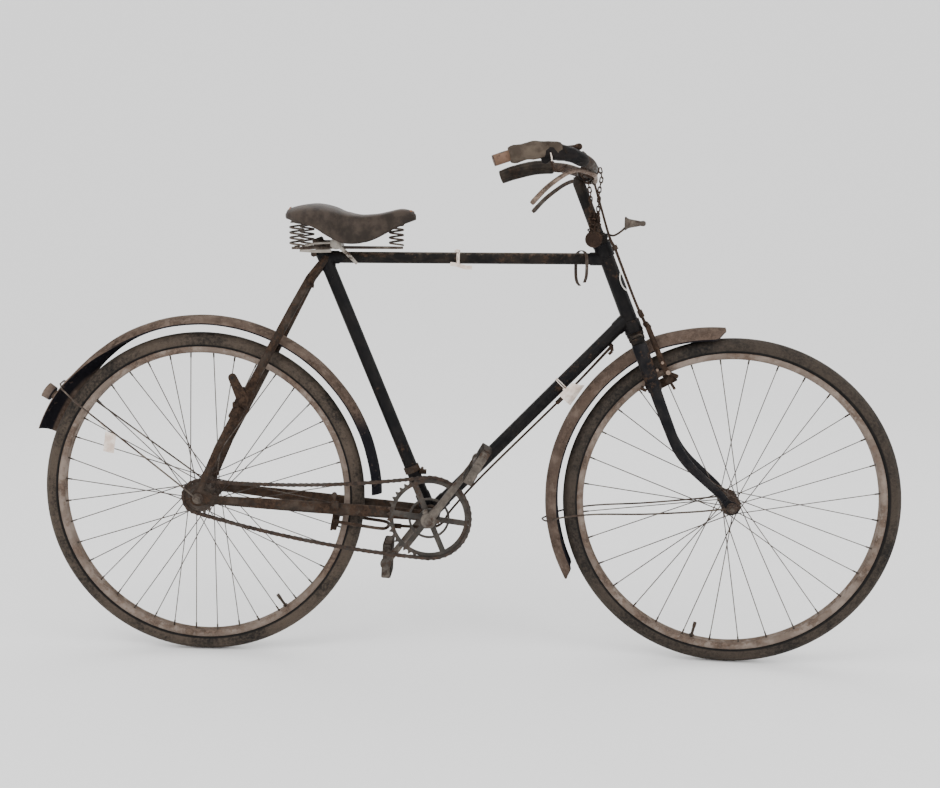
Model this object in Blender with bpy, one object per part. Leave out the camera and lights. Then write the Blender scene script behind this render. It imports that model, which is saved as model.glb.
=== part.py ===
"""An old roadster bicycle with rod brakes, weathered and rusty, as an assembly of its real pieces.

Metres, +Z up, +X towards the front wheel, +Y to the left. Places below are measured from the
floor under the rear axle; the whole machine hangs on one empty that puts the top of the
saddle at the origin, because a two-wheeler with no stand is held by its rider.
"""
import math

import bmesh
import bpy
from mathutils import Matrix, Quaternion, Vector

for old in list(bpy.data.objects):
    bpy.data.objects.remove(old, do_unlink=True)

X_AXIS = Vector((1, 0, 0))
Y_AXIS = Vector((0, 1, 0))
Z_AXIS = Vector((0, 0, 1))

# Clearances
GAP = 0.0003            # between pieces that touch

# Wheels, 28 x 1 1/2 inch
TYRE_R = 0.3555
TYRE_SECTION_R = 0.0185
TYRE_STEPS = 48
TYRE_SIDES = 8
RIM_EDGE_R = TYRE_R - 0.030
RIM_INNER_R = RIM_EDGE_R - 0.0145
RIM_WALL_R = RIM_INNER_R + 0.005
RIM_HALF_WIDTH = 0.0165
RIM_BED_HALF_WIDTH = 0.008
SPOKE_R = 0.001
SPOKE_SPREAD = 0.0022   # each side of the flange's middle
SPOKE_RIM_OFFSET = 0.003
FLANGE_THICKNESS = 0.004
HUB_BORE_R = 0.006
AXLE_R = 0.0048
NUT_R = 0.0085
NUT_WIDTH = 0.008
AXLE_TIP = 0.005        # how far an axle shows past its nut

# Frame layout
WHEELBASE = 1.143
BB_X = 0.4992
BB_Z = 0.3182
AXLE_Z = BB_Z + 0.0373
CROWN_Z = AXLE_Z + TYRE_R - 0.010       # underside of the fork crown, just clear of the tyre
HEAD_TILT = 0.395       # run back for each metre of rise
HEAD_X = WHEELBASE - 0.2295             # the steering axis at HEAD_Z
HEAD_Z = CROWN_Z + 0.066
STEER_REST = math.radians(-3.9)
SEAT_TILT = 0.412
SEAT_LUG_Z = 0.889
TOP_TUBE_Z = 0.8745
DOWN_TUBE_HEAD_Z = CROWN_Z + 0.051

# Frame tubes
HEAD_TUBE_R = 0.016
HEAD_LUG_R = 0.0185
HEAD_LUG_LENGTH = 0.022
HEAD_TUBE_BORE_R = 0.0145
HEAD_TUBE_TOP_Z = 0.905
HEAD_TUBE_BOTTOM_Z = CROWN_Z + 0.021
SEAT_TUBE_R = 0.0143
SEAT_LUG_R = 0.0165
SEAT_LUG_LENGTH = 0.045
TOP_TUBE_R = 0.0122
DOWN_TUBE_R = 0.014
LUG_WALL = 0.002
LUG_LENGTH = 0.045
SEAT_STAY_R = 0.0093
SEAT_STAY_FOOT_R = 0.008
SHELL_R = 0.0225
SHELL_HALF_WIDTH = 0.035
SHELL_BORE_R = 0.012

# Rear end
DROPOUT_Y = 0.0595      # inner face
DROPOUT_THICKNESS = 0.005
DROPOUT_R = 0.017
EYE_THICKNESS = 0.002
EYE_R = 0.0135
WIRE_OFFSET = 0.0026    # a mudguard stay's middle from its eye's inner face

# Transmission
CHAIN_PITCH = 0.0127
CHAIN_LINE = 0.047
RING_TEETH = 44
SPROCKET_TEETH = 18
SPROCKET_HALF_THICKNESS = 0.0015
TOOTH_TIP = 0.002       # above the pitch line
TOOTH_ROOT = 0.0042     # below it
RING_RIM_WIDTH = 0.0075
RING_ARMS = 6
RING_ARM_WIDTH = 0.012
RING_ARM_TURN = math.radians(-7.4)
RING_HUB_R = 0.021
RING_BAND_R = 0.043
RING_BAND_WIDTH = 0.004
CHAIN_SAG = 0.013
CHAIN_HALF_WIDTH = 0.0048
CHAIN_SLOT_HALF_WIDTH = 0.0026
CHAIN_INNER = 0.0042    # from the pitch line towards the sprockets
CHAIN_OUTER = 0.0044
CHAIN_SLOT_DEPTH = 0.003
SPROCKET_BODY_R = 0.026
SPROCKET_BODY_HALF_WIDTH = 0.005
CRANK_LENGTH = 0.17
CRANK_ANGLE = math.radians(52.4)
CRANK_INNER_Y = 0.060
CRANK_THICKNESS = 0.014
CRANK_BOSS_R = 0.0165
CRANK_EYE_R = 0.0125
CRANK_AXLE_R = 0.008
SPINDLE_R = 0.005
PEDAL_INNER_Y = 0.082
PEDAL_LENGTH = 0.084
PEDAL_SPREAD = 0.0275   # a block's middle from the spindle
PEDAL_BLOCK = (0.028, 0.022)
PEDAL_PLATE = 0.003
PEDAL_TUBE_R = 0.009
PEDAL_BORE_R = 0.0062
RIGHT_PEDAL_ANGLE = math.radians(59.4)
LEFT_PEDAL_ANGLE = math.radians(87)

# Fork and steering
STEERER_R = 0.0125
FORK_CROWN_TOP_Z = CROWN_Z + 0.015
FORK_CROWN_DEPTH = 0.030
BLADE_Y = 0.050
BLADE_HALF_DEPTH = 0.0135
BLADE_HALF_WIDTH = 0.0095
BLADE_TIP_R = 0.0075
FORK_END_Y = 0.0475     # inner face
FORK_END_R = 0.014
LOCK_NUT_R = 0.018
LOCK_NUT_TOP_Z = HEAD_TUBE_TOP_Z + 0.021
STEM_R = 0.0128
STEM_TOP_Z = 1.038
BAR_R = 0.011
BAR_AHEAD = 0.0155      # the bar's middle from the top of the stem
BAR_RISE = 0.0145
BAR_CLAMP_R = 0.0165
BAR_CLAMP_HALF_WIDTH = 0.02
BAR_SLEEVE_BORE_R = 0.0123
BAR_ROLL = math.radians(3.5)
BAR_YAW = math.radians(1.9)

# Mudguards
GUARD_HALF_WIDTH = 0.0262
GUARD_SHEET = 0.0016
REAR_GUARD_R = TYRE_R + 0.037
REAR_GUARD_RISE = 0.017
REAR_GUARD_TWIST = math.radians(66)
FRONT_GUARD_R = TYRE_R + 0.0375
FRONT_GUARD_TIP_R = FRONT_GUARD_R - 0.016
FRONT_GUARD_RISE = 0.024
STAY_R = 0.002
TAG_CLEARANCE = 0.0075  # from the down tube's label to the front mudguard

# Saddle, springs and seat post
SADDLE_TOP_X = BB_X - 0.2372
SADDLE_TOP_Z = 0.992
LEATHER = 0.004
POST_R = 0.0125
POST_TOP_Z = 0.915
CLAMP_X = SADDLE_TOP_X + 0.035
CLAMP_Z = 0.9035
CLAMP_SIZE = (0.024, 0.060, 0.021)
RAIL_R = 0.003
RAIL_Z = 0.8955
SPRING_WIRE_R = 0.0021
REAR_SPRING_X = SADDLE_TOP_X - 0.0405
REAR_SPRING_Y = 0.069
FRONT_SPRING_X = SADDLE_TOP_X + 0.162
SPRING_R = 0.0145
SPRING_TOP_Z = 0.947
SPRING_TURNS = 4

BRAKE_ROD_R = 0.0025
LEVER_R = 0.0045
STIRRUP_R = 0.0038
SHOE_R = RIM_INNER_R - 0.0135
SHOE_Y = 0.0155
SHOE_SIZE = (0.013, 0.008, 0.048)
FRONT_SHOE_ANGLE = math.radians(119)
REAR_SHOE_ANGLE = math.radians(-10.2)

# Colour, roughness and metallic value of each finish
BLACK_ENAMEL = ((0.030, 0.028, 0.032), 0.55, 0.2)
RUST = ((0.16, 0.085, 0.055), 0.85, 0.3)
RUSTY_STEEL = ((0.20, 0.155, 0.12), 0.7, 0.6)
WORN_CHROME = ((0.48, 0.44, 0.39), 0.4, 0.9)
OLD_RUBBER = ((0.035, 0.033, 0.030), 0.85, 0.0)
DRY_LEATHER = ((0.075, 0.058, 0.042), 0.6, 0.0)
LABEL = ((0.75, 0.70, 0.62), 0.9, 0.0)

places = {}


def empty(name, place, parent=None):
    """An empty at a place measured like all the others, which pieces or other empties hang on."""
    holder = bpy.data.objects.new(name, None)
    bpy.context.collection.objects.link(holder)
    places[name] = Vector(place)
    if parent:
        holder.parent = parent
        holder.location = places[name] - places[parent.name]
    return holder


def material(name, finish):
    colour, roughness, metallic = finish
    made = bpy.data.materials.new(name)
    made.use_nodes = True
    shader = made.node_tree.nodes["Principled BSDF"]
    shader.inputs["Base Color"].default_value = (*colour, 1)
    shader.inputs["Roughness"].default_value = roughness
    shader.inputs["Metallic"].default_value = metallic
    made.diffuse_color = (*colour, 1)
    return made


def add_object(name, bm, parent, finish=None):
    """Makes the mesh an object, or a hidden shape for a Boolean where it has no finish."""
    bmesh.ops.recalc_face_normals(bm, faces=bm.faces[:])
    mesh = bpy.data.meshes.new(name)
    bm.to_mesh(mesh)
    bm.free()
    mesh.shade_smooth()
    mesh.set_sharp_from_angle(angle=math.radians(35))
    made = bpy.data.objects.new(name, mesh)
    bpy.context.collection.objects.link(made)
    made.parent = parent
    made.location = -places[parent.name]
    if finish:
        mesh.materials.append(material(name, finish))
    else:
        made.hide_render = True
        made.display_type = "WIRE"
    return made


def combine(target, other, operation="UNION"):
    modifier = target.modifiers.new(operation.lower(), "BOOLEAN")
    modifier.operation = operation
    modifier.object = other
    modifier.solver = "EXACT"


# Shapes

def join_loops(bm, loops, closed=False):
    """Skins a row of equal loops of points, with caps unless the row closes on itself."""
    loops = [[bm.verts.new(point) for point in loop] for loop in loops]
    following = loops[1:] + (loops[:1] if closed else [])
    for loop, after in zip(loops, following):
        for i in range(len(loop)):
            j = (i + 1) % len(loop)
            bm.faces.new((loop[i], loop[j], after[j], after[i]))
    if not closed:
        bm.faces.new(loops[0])
        bm.faces.new(loops[-1])


def smooth_path(points, steps=4):
    """A Catmull-Rom curve through the points."""
    points = [Vector(p) for p in points]
    ends = [points[0] * 2 - points[1], *points, points[-1] * 2 - points[-2]]
    path = []
    for a, b, c, d in zip(ends, ends[1:], ends[2:], ends[3:]):
        for step in range(steps):
            t = step / steps
            path.append((b * 2 + (c - a) * t + (a * 2 - b * 5 + c * 4 - d) * t**2
                         + (b * 3 - a - c * 3 + d) * t**3) / 2)
    return [*path, points[-1]]


def path_frames(path, hint, closed=False):
    """Each point of a path with two directions across it, carried along without twist."""
    count = len(path)
    frames = []
    side = Vector(hint)
    for i, point in enumerate(path):
        before = path[i - 1] if i or closed else path[0]
        after = path[(i + 1) % count] if i + 1 < count or closed else path[-1]
        along = (after - before).normalized()
        side = (side - along * side.dot(along)).normalized()
        frames.append((point, side, side.cross(along)))
    return frames


def ring_of(frame, radius, sides):
    point, side, up = frame
    across, high = radius if isinstance(radius, tuple) else (radius, radius)
    angles = [math.tau * (i + 0.5) / sides for i in range(sides)]
    return [point + side * across * math.cos(a) + up * high * math.sin(a) for a in angles]


def tube(path, radii, sides=10, hint=Y_AXIS, closed=False, bore=None, bm=None):
    """A solid rod or, with a bore, a pipe. A radius may be (across, high) or differ at each point."""
    bm = bm or bmesh.new()
    path = [Vector(p) for p in path]
    radii = radii if isinstance(radii, list) else [radii] * len(path)
    frames = path_frames(path, hint, closed)
    outer = [ring_of(frame, radius, sides) for frame, radius in zip(frames, radii)]
    if bore is None:
        join_loops(bm, outer, closed)
        return bm
    inner = [ring_of(frame, bore, sides) for frame in frames]
    join_loops(bm, [*outer, *reversed(inner)], closed=True)
    return bm


def turned(profile, steps, centre, start=0.0):
    """A ring about an axis along Y, from a closed outline of (radius, y)."""
    bm = bmesh.new()
    loops = []
    for step in range(steps):
        angle = start + math.tau * step / steps
        outward = X_AXIS * math.cos(angle) + Z_AXIS * math.sin(angle)
        loops.append([centre + outward * radius + Y_AXIS * y for radius, y in profile])
    join_loops(bm, loops, closed=True)
    return bm


def washer(centre, radius, bore, near_y, far_y, sides=12):
    low = Vector((centre[0], near_y, centre[2]))
    high = Vector((centre[0], far_y, centre[2]))
    return tube([low, high], radius, sides, X_AXIS, bore=bore)


def block(centre, size, turn=None, bm=None):
    bm = bm or bmesh.new()
    place = Matrix.Translation(centre) @ (turn or Matrix()) @ Matrix.Diagonal((*size, 1))
    bmesh.ops.create_cube(bm, size=1, matrix=place)
    return bm


def arm_outline(start, start_r, end, end_r, near_y, far_y, steps=7):
    """A flat arm with round ends, lying across Y."""
    along = end - start
    heading = math.atan2(along.z, along.x)
    corners = []
    for centre, radius, turn in ((start, start_r, math.pi / 2), (end, end_r, -math.pi / 2)):
        for step in range(steps):
            angle = heading + turn + math.pi * step / (steps - 1)
            corners.append(centre + Vector((math.cos(angle), 0, math.sin(angle))) * radius)
    bm = bmesh.new()
    join_loops(bm, [[Vector((p.x, y, p.z)) for p in corners] for y in (near_y, far_y)])
    return bm


def on_circle(centre, radius, angle, y=0.0):
    return Vector((centre.x + radius * math.cos(angle), y, centre.z + radius * math.sin(angle)))


def on_head_axis(z):
    return Vector((HEAD_X - HEAD_TILT * (z - HEAD_Z), 0, z))


def on_seat_tube(z):
    return Vector((BB_X - SEAT_TILT * (z - BB_Z), 0, z))


def by_head(forward, y, z):
    """A point at a distance ahead of the steering axis, at one height."""
    return on_head_axis(z) + Vector((forward, y, 0))


def from_place(place, points):
    return [place + Vector(point) for point in points]


def mirrored(points, side):
    """The same points on the right for side -1 and on the left for side 1."""
    return [Vector((x, y * side, z)) for x, y, z in points]


# Axes that pieces turn on

rear_axle = Vector((0, 0, AXLE_Z))
front_axle = Vector((WHEELBASE, 0, AXLE_Z))
bracket = Vector((BB_X, 0, BB_Z))
crank_arm = Vector((math.cos(CRANK_ANGLE), 0, math.sin(CRANK_ANGLE))) * CRANK_LENGTH
head_up = (on_head_axis(HEAD_Z + 1) - on_head_axis(HEAD_Z)).normalized()
head_forward = Y_AXIS.cross(head_up)
down_tube_top = on_head_axis(DOWN_TUBE_HEAD_Z)
down_along = (down_tube_top - bracket).normalized()
down_below = Y_AXIS.cross(down_along)
bar_middle = on_head_axis(STEM_TOP_Z) + Vector((BAR_AHEAD, 0, BAR_RISE))

bicycle = empty("bicycle", (0, 0, 0))
bicycle.location = -Vector((SADDLE_TOP_X, 0, SADDLE_TOP_Z))
rear_hub = empty("rear_hub_axis", rear_axle, bicycle)
sprocket_axis = empty("sprocket_axis", rear_axle, bicycle)
crank_axis = empty("crank_axis", bracket, bicycle)
right_spindle = empty("right_spindle_axis", bracket + crank_arm, crank_axis)
left_spindle = empty("left_spindle_axis", bracket - crank_arm, crank_axis)
steering = empty("steering_axis", on_head_axis(HEAD_Z), bicycle)
steering.rotation_mode = "QUATERNION"
steering.rotation_quaternion = Quaternion(head_up, STEER_REST)
front_hub = empty("front_hub_axis", front_axle, steering)


# Frame

def head_tube():
    lug = HEAD_LUG_LENGTH
    heights = [HEAD_TUBE_BOTTOM_Z, HEAD_TUBE_BOTTOM_Z + lug, HEAD_TUBE_BOTTOM_Z + lug * 1.1,
               HEAD_TUBE_TOP_Z - lug * 1.6, HEAD_TUBE_TOP_Z - lug * 1.5, HEAD_TUBE_TOP_Z]
    radii = [HEAD_LUG_R, HEAD_LUG_R, HEAD_TUBE_R, HEAD_TUBE_R, HEAD_LUG_R, HEAD_LUG_R]
    bm = tube([on_head_axis(z) for z in heights], radii, 16, bore=HEAD_TUBE_BORE_R)
    add_object("head_tube", bm, bicycle, BLACK_ENAMEL)


def lugged(start, end, radius, start_lug, end_lug):
    """A tube with a thicker sleeve of the given length at each end."""
    along = (end - start).normalized()
    step = along * LUG_WALL
    path = [start, start + along * start_lug, start + along * start_lug + step,
            end - along * end_lug - step, end - along * end_lug, end]
    thick = radius + LUG_WALL
    return tube(path, [thick, thick, radius, radius, thick, thick], 14)


def cutters():
    """Each is a touching gap larger than the piece that tubes end against."""
    head = tube([on_head_axis(HEAD_TUBE_BOTTOM_Z - 0.05), on_head_axis(HEAD_TUBE_TOP_Z + 0.05)],
                HEAD_LUG_R + GAP, 16)
    seat = tube([on_seat_tube(BB_Z), on_seat_tube(SEAT_LUG_Z + 0.05)], SEAT_LUG_R + GAP, 14)
    shell = tube([bracket - Y_AXIS * 0.1, bracket + Y_AXIS * 0.1], SHELL_R + GAP, 20, X_AXIS)
    dropouts = tube([rear_axle - Y_AXIS * 0.1, rear_axle + Y_AXIS * 0.1], DROPOUT_R + GAP, 16, X_AXIS)
    named = (("head", head), ("seat", seat), ("shell", shell), ("dropout", dropouts))
    return {name: add_object(name + "_clearance", bm, bicycle) for name, bm in named}


def main_tubes(clear):
    top_start = Vector((on_seat_tube(TOP_TUBE_Z).x, 0, TOP_TUBE_Z))
    top = lugged(top_start, on_head_axis(TOP_TUBE_Z), TOP_TUBE_R, LUG_LENGTH, LUG_LENGTH)
    top = add_object("top_tube", top, bicycle, BLACK_ENAMEL)
    combine(top, clear["seat"], "DIFFERENCE")
    combine(top, clear["head"], "DIFFERENCE")

    down = lugged(bracket, down_tube_top, DOWN_TUBE_R, LUG_LENGTH, LUG_LENGTH * 1.3)
    down = add_object("down_tube", down, bicycle, BLACK_ENAMEL)
    combine(down, clear["shell"], "DIFFERENCE")
    combine(down, clear["seat"], "DIFFERENCE")
    combine(down, clear["head"], "DIFFERENCE")

    heights = [BB_Z, BB_Z + 0.045, BB_Z + 0.047, SEAT_LUG_Z - SEAT_LUG_LENGTH - 0.002,
               SEAT_LUG_Z - SEAT_LUG_LENGTH, SEAT_LUG_Z]
    lug = SEAT_LUG_R
    seat = tube([on_seat_tube(z) for z in heights], [lug, lug, SEAT_TUBE_R, SEAT_TUBE_R, lug, lug], 14)
    seat = add_object("seat_tube", seat, bicycle, BLACK_ENAMEL)
    combine(seat, clear["shell"], "DIFFERENCE")
    clip_z = BB_Z + 0.098
    clip = tube([on_seat_tube(clip_z - 0.008), on_seat_tube(clip_z + 0.008)], SEAT_TUBE_R + 0.003, 14)
    block(on_seat_tube(clip_z) + X_AXIS * 0.022, (0.014, 0.012, 0.012), bm=clip)
    clip_solid = add_object("seat_tube_clip", clip, bicycle)
    combine(seat, clip_solid)
    seat.modifiers[-1].use_self = True


def bottom_bracket():
    cup = SHELL_R - 0.004
    wide = SHELL_HALF_WIDTH + 0.004
    profile = [(SHELL_BORE_R, -wide), (cup, -wide), (cup, -SHELL_HALF_WIDTH),
               (SHELL_R, -SHELL_HALF_WIDTH), (SHELL_R, SHELL_HALF_WIDTH),
               (cup, SHELL_HALF_WIDTH), (cup, wide), (SHELL_BORE_R, wide)]
    add_object("bottom_bracket_shell", turned(profile, 20, bracket), bicycle, RUST)


def rear_stays(name, side, clear):
    """One side's chain stay with its dropout, and the seat stay that lands on it."""
    outer_y = DROPOUT_Y + DROPOUT_THICKNESS
    middle_y = (DROPOUT_Y + outer_y) / 2
    route = []
    for share, y in ((1.0, 0.026), (0.911, 0.028), (0.801, 0.031), (0.691, 0.0345), (0.3, 0.052),
                     (0.09, middle_y), (0.024, middle_y)):
        route.append(rear_axle.lerp(bracket, share) + Y_AXIS * y)
    sizes = [(0.009, 0.012), (0.0085, 0.0125), (0.0078, 0.013), (0.0078, 0.013),
             (0.0075, 0.012), (0.0045, 0.010), (0.0024, 0.011)]
    stay = add_object("chain_stay_" + name, tube(mirrored(route, side), sizes, 12), bicycle, RUST)
    combine(stay, clear["shell"], "DIFFERENCE")
    faces = sorted((side * DROPOUT_Y, side * outer_y))
    dropout = washer(rear_axle, DROPOUT_R, AXLE_R + GAP, *faces, sides=16)
    combine(stay, add_object("dropout_" + name, dropout, bicycle))
    hole = tube([rear_axle - Y_AXIS * 0.1, rear_axle + Y_AXIS * 0.1], AXLE_R + GAP, 12, X_AXIS)
    combine(stay, add_object("dropout_hole_" + name, hole, bicycle), "DIFFERENCE")

    sizes = [SEAT_STAY_FOOT_R, SEAT_STAY_FOOT_R, *[SEAT_STAY_R] * 5]
    stay = add_object("seat_stay_" + name, tube(seat_stay_route(side), sizes, 12), bicycle, RUST)
    combine(stay, clear["dropout"], "DIFFERENCE")
    combine(stay, clear["seat"], "DIFFERENCE")


def seat_stay_route(side):
    """From the dropout up to the seat lug, bowed back a little."""
    foot = rear_axle + Z_AXIS * 0.008
    top = on_seat_tube(SEAT_LUG_Z - 0.019)
    route = [foot + Y_AXIS * 0.0625]
    for share, y, bow in ((0.2, 0.060, -0.0096), (0.406, 0.054, -0.0108), (0.609, 0.045, -0.0112),
                          (0.795, 0.031, -0.012), (0.921, 0.017, -0.0113), (1.0, 0.0125, 0.0)):
        route.append(foot.lerp(top, share) + Vector((bow, y, 0)))
    return mirrored(route, side)


def axle(name, centre, parent, nut_inner_y, sides=6):
    nut_outer_y = nut_inner_y + NUT_WIDTH
    tip_y = nut_outer_y + AXLE_TIP
    stops = ((-tip_y, AXLE_R), (-nut_outer_y, AXLE_R), (-nut_outer_y, NUT_R), (-nut_inner_y, NUT_R),
             (-nut_inner_y, AXLE_R), (nut_inner_y, AXLE_R), (nut_inner_y, NUT_R),
             (nut_outer_y, NUT_R), (nut_outer_y, AXLE_R), (tip_y, AXLE_R))
    loops = []
    for y, radius in stops:
        loops.append([on_circle(centre, radius, math.tau * i / sides, y) for i in range(sides)])
    bm = bmesh.new()
    join_loops(bm, loops)
    add_object(name, bm, parent, RUSTY_STEEL)


# Wheels

def tyre(name, centre, parent):
    middle = TYRE_R - TYRE_SECTION_R
    profile = []
    for side in range(TYRE_SIDES):
        angle = math.tau * side / TYRE_SIDES
        profile.append((middle + TYRE_SECTION_R * math.cos(angle), TYRE_SECTION_R * math.sin(angle)))
    add_object(name, turned(profile, TYRE_STEPS, centre), parent, OLD_RUBBER)


def hub_profile(barrel_r, flange_r, right_y, left_y, right_end, left_end):
    """A closed outline of (radius, y) with a flange near each end."""
    half = FLANGE_THICKNESS / 2
    return [(HUB_BORE_R, -right_end), (barrel_r, -right_end), (barrel_r, -right_y - half),
            (flange_r, -right_y - half), (flange_r, -right_y + half), (barrel_r, -right_y + half),
            (barrel_r, left_y - half), (flange_r, left_y - half), (flange_r, left_y + half),
            (barrel_r, left_y + half), (barrel_r, left_end), (HUB_BORE_R, left_end)]


def spokes(centre, count, crossings, flange_r, right_y, left_y):
    """Half to each flange, every other one leaning forward, so that they cross."""
    bm = bmesh.new()
    for index in range(count):
        rim_angle = math.tau * (index + 0.5) / count
        side = 1 if index % 2 else -1
        lean = 1 if index // 2 % 2 else -1
        hub_angle = rim_angle + lean * crossings * 2 * math.tau / count
        flange_y = left_y if side == 1 else -right_y
        start = on_circle(centre, flange_r - 0.004, hub_angle, flange_y + lean * SPOKE_SPREAD)
        rim_y = side * SPOKE_RIM_OFFSET + lean * SPOKE_R
        end = on_circle(centre, RIM_INNER_R + 0.002, rim_angle, rim_y)
        tube([start, end], SPOKE_R, 3, bm=bm)
    return bm


def wheel(name, centre, parent, hub, count, crossings):
    barrel_r, flange_r, right_y, left_y, right_end, left_end = hub
    floor_r = TYRE_R - 2 * TYRE_SECTION_R - GAP * 2
    half = RIM_HALF_WIDTH
    bed = RIM_BED_HALF_WIDTH
    profile = [(RIM_INNER_R, -bed), (RIM_WALL_R, -half), (RIM_EDGE_R, -half), (floor_r, -bed),
               (floor_r, bed), (RIM_EDGE_R, half), (RIM_WALL_R, half), (RIM_INNER_R, bed)]
    rim = add_object(name, turned(profile, TYRE_STEPS, centre), parent, RUSTY_STEEL)
    wires = spokes(centre, count, crossings, flange_r, right_y, left_y)
    combine(rim, add_object(name + "_spokes", wires, parent))
    barrel = turned(hub_profile(*hub), 16, centre)
    combine(rim, add_object(name + "_hub", barrel, parent))


# Transmission

def pitch_radius(teeth):
    return CHAIN_PITCH / (2 * math.sin(math.pi / teeth))


def toothed_ring(centre, teeth, inner_r, start):
    """A ring with one pointed tooth for each link, lying across the chain line."""
    bm = bmesh.new()
    loops = []
    root = pitch_radius(teeth) - TOOTH_ROOT
    tip = pitch_radius(teeth) + TOOTH_TIP
    for tooth in range(teeth):
        for share, radius in ((0.0, tip), (0.5, root)):
            angle = start + math.tau * (tooth + share) / teeth
            corners = []
            for r, side in ((inner_r, -1), (radius, -1), (radius, 1), (inner_r, 1)):
                y = -CHAIN_LINE + side * SPROCKET_HALF_THICKNESS
                corners.append(on_circle(centre, r, angle, y))
            loops.append(corners)
    join_loops(bm, loops, closed=True)
    return bm


def chainring():
    root = pitch_radius(RING_TEETH) - TOOTH_ROOT
    inner = root - RING_RIM_WIDTH
    ring = add_object("chainring", toothed_ring(bracket, RING_TEETH, inner, CRANK_ANGLE), crank_axis,
                      WORN_CHROME)
    low = -CHAIN_LINE - SPROCKET_HALF_THICKNESS
    high = -CHAIN_LINE + SPROCKET_HALF_THICKNESS
    arms = bmesh.new()
    for arm in range(RING_ARMS):
        turn = RING_ARM_TURN + math.tau * arm / RING_ARMS
        length = inner + 0.002 - RING_HUB_R / 2
        middle = on_circle(bracket, RING_HUB_R / 2 + length / 2, turn, -CHAIN_LINE)
        size = (length, 2 * SPROCKET_HALF_THICKNESS - GAP, RING_ARM_WIDTH)
        block(middle, size, Matrix.Rotation(-turn, 4, "Y"), arms)
    arms = add_object("chainring_arms", arms, crank_axis)
    hub = washer(bracket, RING_HUB_R, CRANK_AXLE_R + GAP, low - 0.004, high + 0.002, 18)
    hub = add_object("chainring_hub", hub, crank_axis)
    band = washer(bracket, RING_BAND_R, RING_BAND_R - RING_BAND_WIDTH, low - GAP, high + GAP, 30)
    band = add_object("chainring_band", band, crank_axis)
    combine(hub, arms)
    hub.modifiers[-1].use_self = True
    combine(hub, band)
    combine(ring, hub)
    bore = tube([bracket - Y_AXIS * 0.1, bracket + Y_AXIS * 0.1], CRANK_AXLE_R + GAP, 18, X_AXIS)
    combine(ring, add_object("chainring_bore", bore, crank_axis), "DIFFERENCE")


def rear_sprocket():
    inner = SPROCKET_BODY_R - 0.004
    start = math.radians(8)
    gear = toothed_ring(rear_axle, SPROCKET_TEETH, inner, start)
    gear = add_object("rear_sprocket", gear, sprocket_axis, RUST)
    body = washer(rear_axle, SPROCKET_BODY_R, HUB_BORE_R, -CHAIN_LINE - SPROCKET_BODY_HALF_WIDTH,
                  -CHAIN_LINE + SPROCKET_BODY_HALF_WIDTH, 18)
    combine(gear, add_object("sprocket_body", body, sprocket_axis))


def hung_run(start_centre, start_r, end_centre, end_r, upper):
    """A slack run of chain that leaves one circle and meets the next along their tangents."""
    side = 1 if upper else -1
    start_angle = end_angle = side * math.pi / 2
    for _ in range(8):
        start = on_circle(start_centre, start_r, start_angle)
        end = on_circle(end_centre, end_r, end_angle)
        chord = end - start
        heading = math.atan2(chord.z, chord.x)
        slack = 4 * CHAIN_SAG / chord.length * (1 if chord.x > 0 else -1)
        start_angle = heading - slack - math.pi / 2
        end_angle = heading + slack - math.pi / 2
    points = []
    for step in range(101):
        share = step / 100
        points.append(start + chord * share - Z_AXIS * CHAIN_SAG * 4 * share * (1 - share))
    return points, start_angle, end_angle


def chain_path():
    """The pitch line, once round, cut into as many links as fit."""
    ring_r = pitch_radius(RING_TEETH)
    sprocket_r = pitch_radius(SPROCKET_TEETH)
    top, ring_leave, sprocket_meet = hung_run(bracket, ring_r, rear_axle, sprocket_r, True)
    bottom, sprocket_leave, ring_meet = hung_run(rear_axle, sprocket_r, bracket, ring_r, False)

    def wrap(centre, radius, start, end):
        turn = (end - start) % math.tau
        return [on_circle(centre, radius, start + turn * i / 60) for i in range(1, 60)]

    dense = [*top, *wrap(rear_axle, sprocket_r, sprocket_meet, sprocket_leave), *bottom,
             *wrap(bracket, ring_r, ring_meet, ring_leave)]
    lengths = [(b - a).length for a, b in zip(dense, dense[1:] + dense[:1])]
    links = round(sum(lengths) / CHAIN_PITCH)
    spacing = sum(lengths) / links
    path = []
    walked = 0.0
    for a, b, length in zip(dense, dense[1:] + dense[:1], lengths):
        while len(path) < links and len(path) * spacing <= walked + length:
            path.append(a.lerp(b, (len(path) * spacing - walked) / length))
        walked += length
    return path


def chain():
    """One loop with a slot along its inner side for the teeth."""
    path = chain_path()
    wall, slot = CHAIN_HALF_WIDTH, CHAIN_SLOT_HALF_WIDTH
    inner, outer, floor = CHAIN_INNER, -CHAIN_OUTER, -CHAIN_SLOT_DEPTH
    section = ((inner, -wall), (outer, -wall), (outer, wall), (inner, wall),
               (inner, slot), (floor, slot), (floor, -slot), (inner, -slot))
    loops = []
    for index, point in enumerate(path):
        along = (path[(index + 1) % len(path)] - path[index - 1]).normalized()
        inward = along.cross(Y_AXIS)
        loops.append([point + inward * rise + Y_AXIS * (y - CHAIN_LINE) for rise, y in section])
    bm = bmesh.new()
    join_loops(bm, loops, closed=True)
    add_object("chain", bm, bicycle, RUST)


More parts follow.
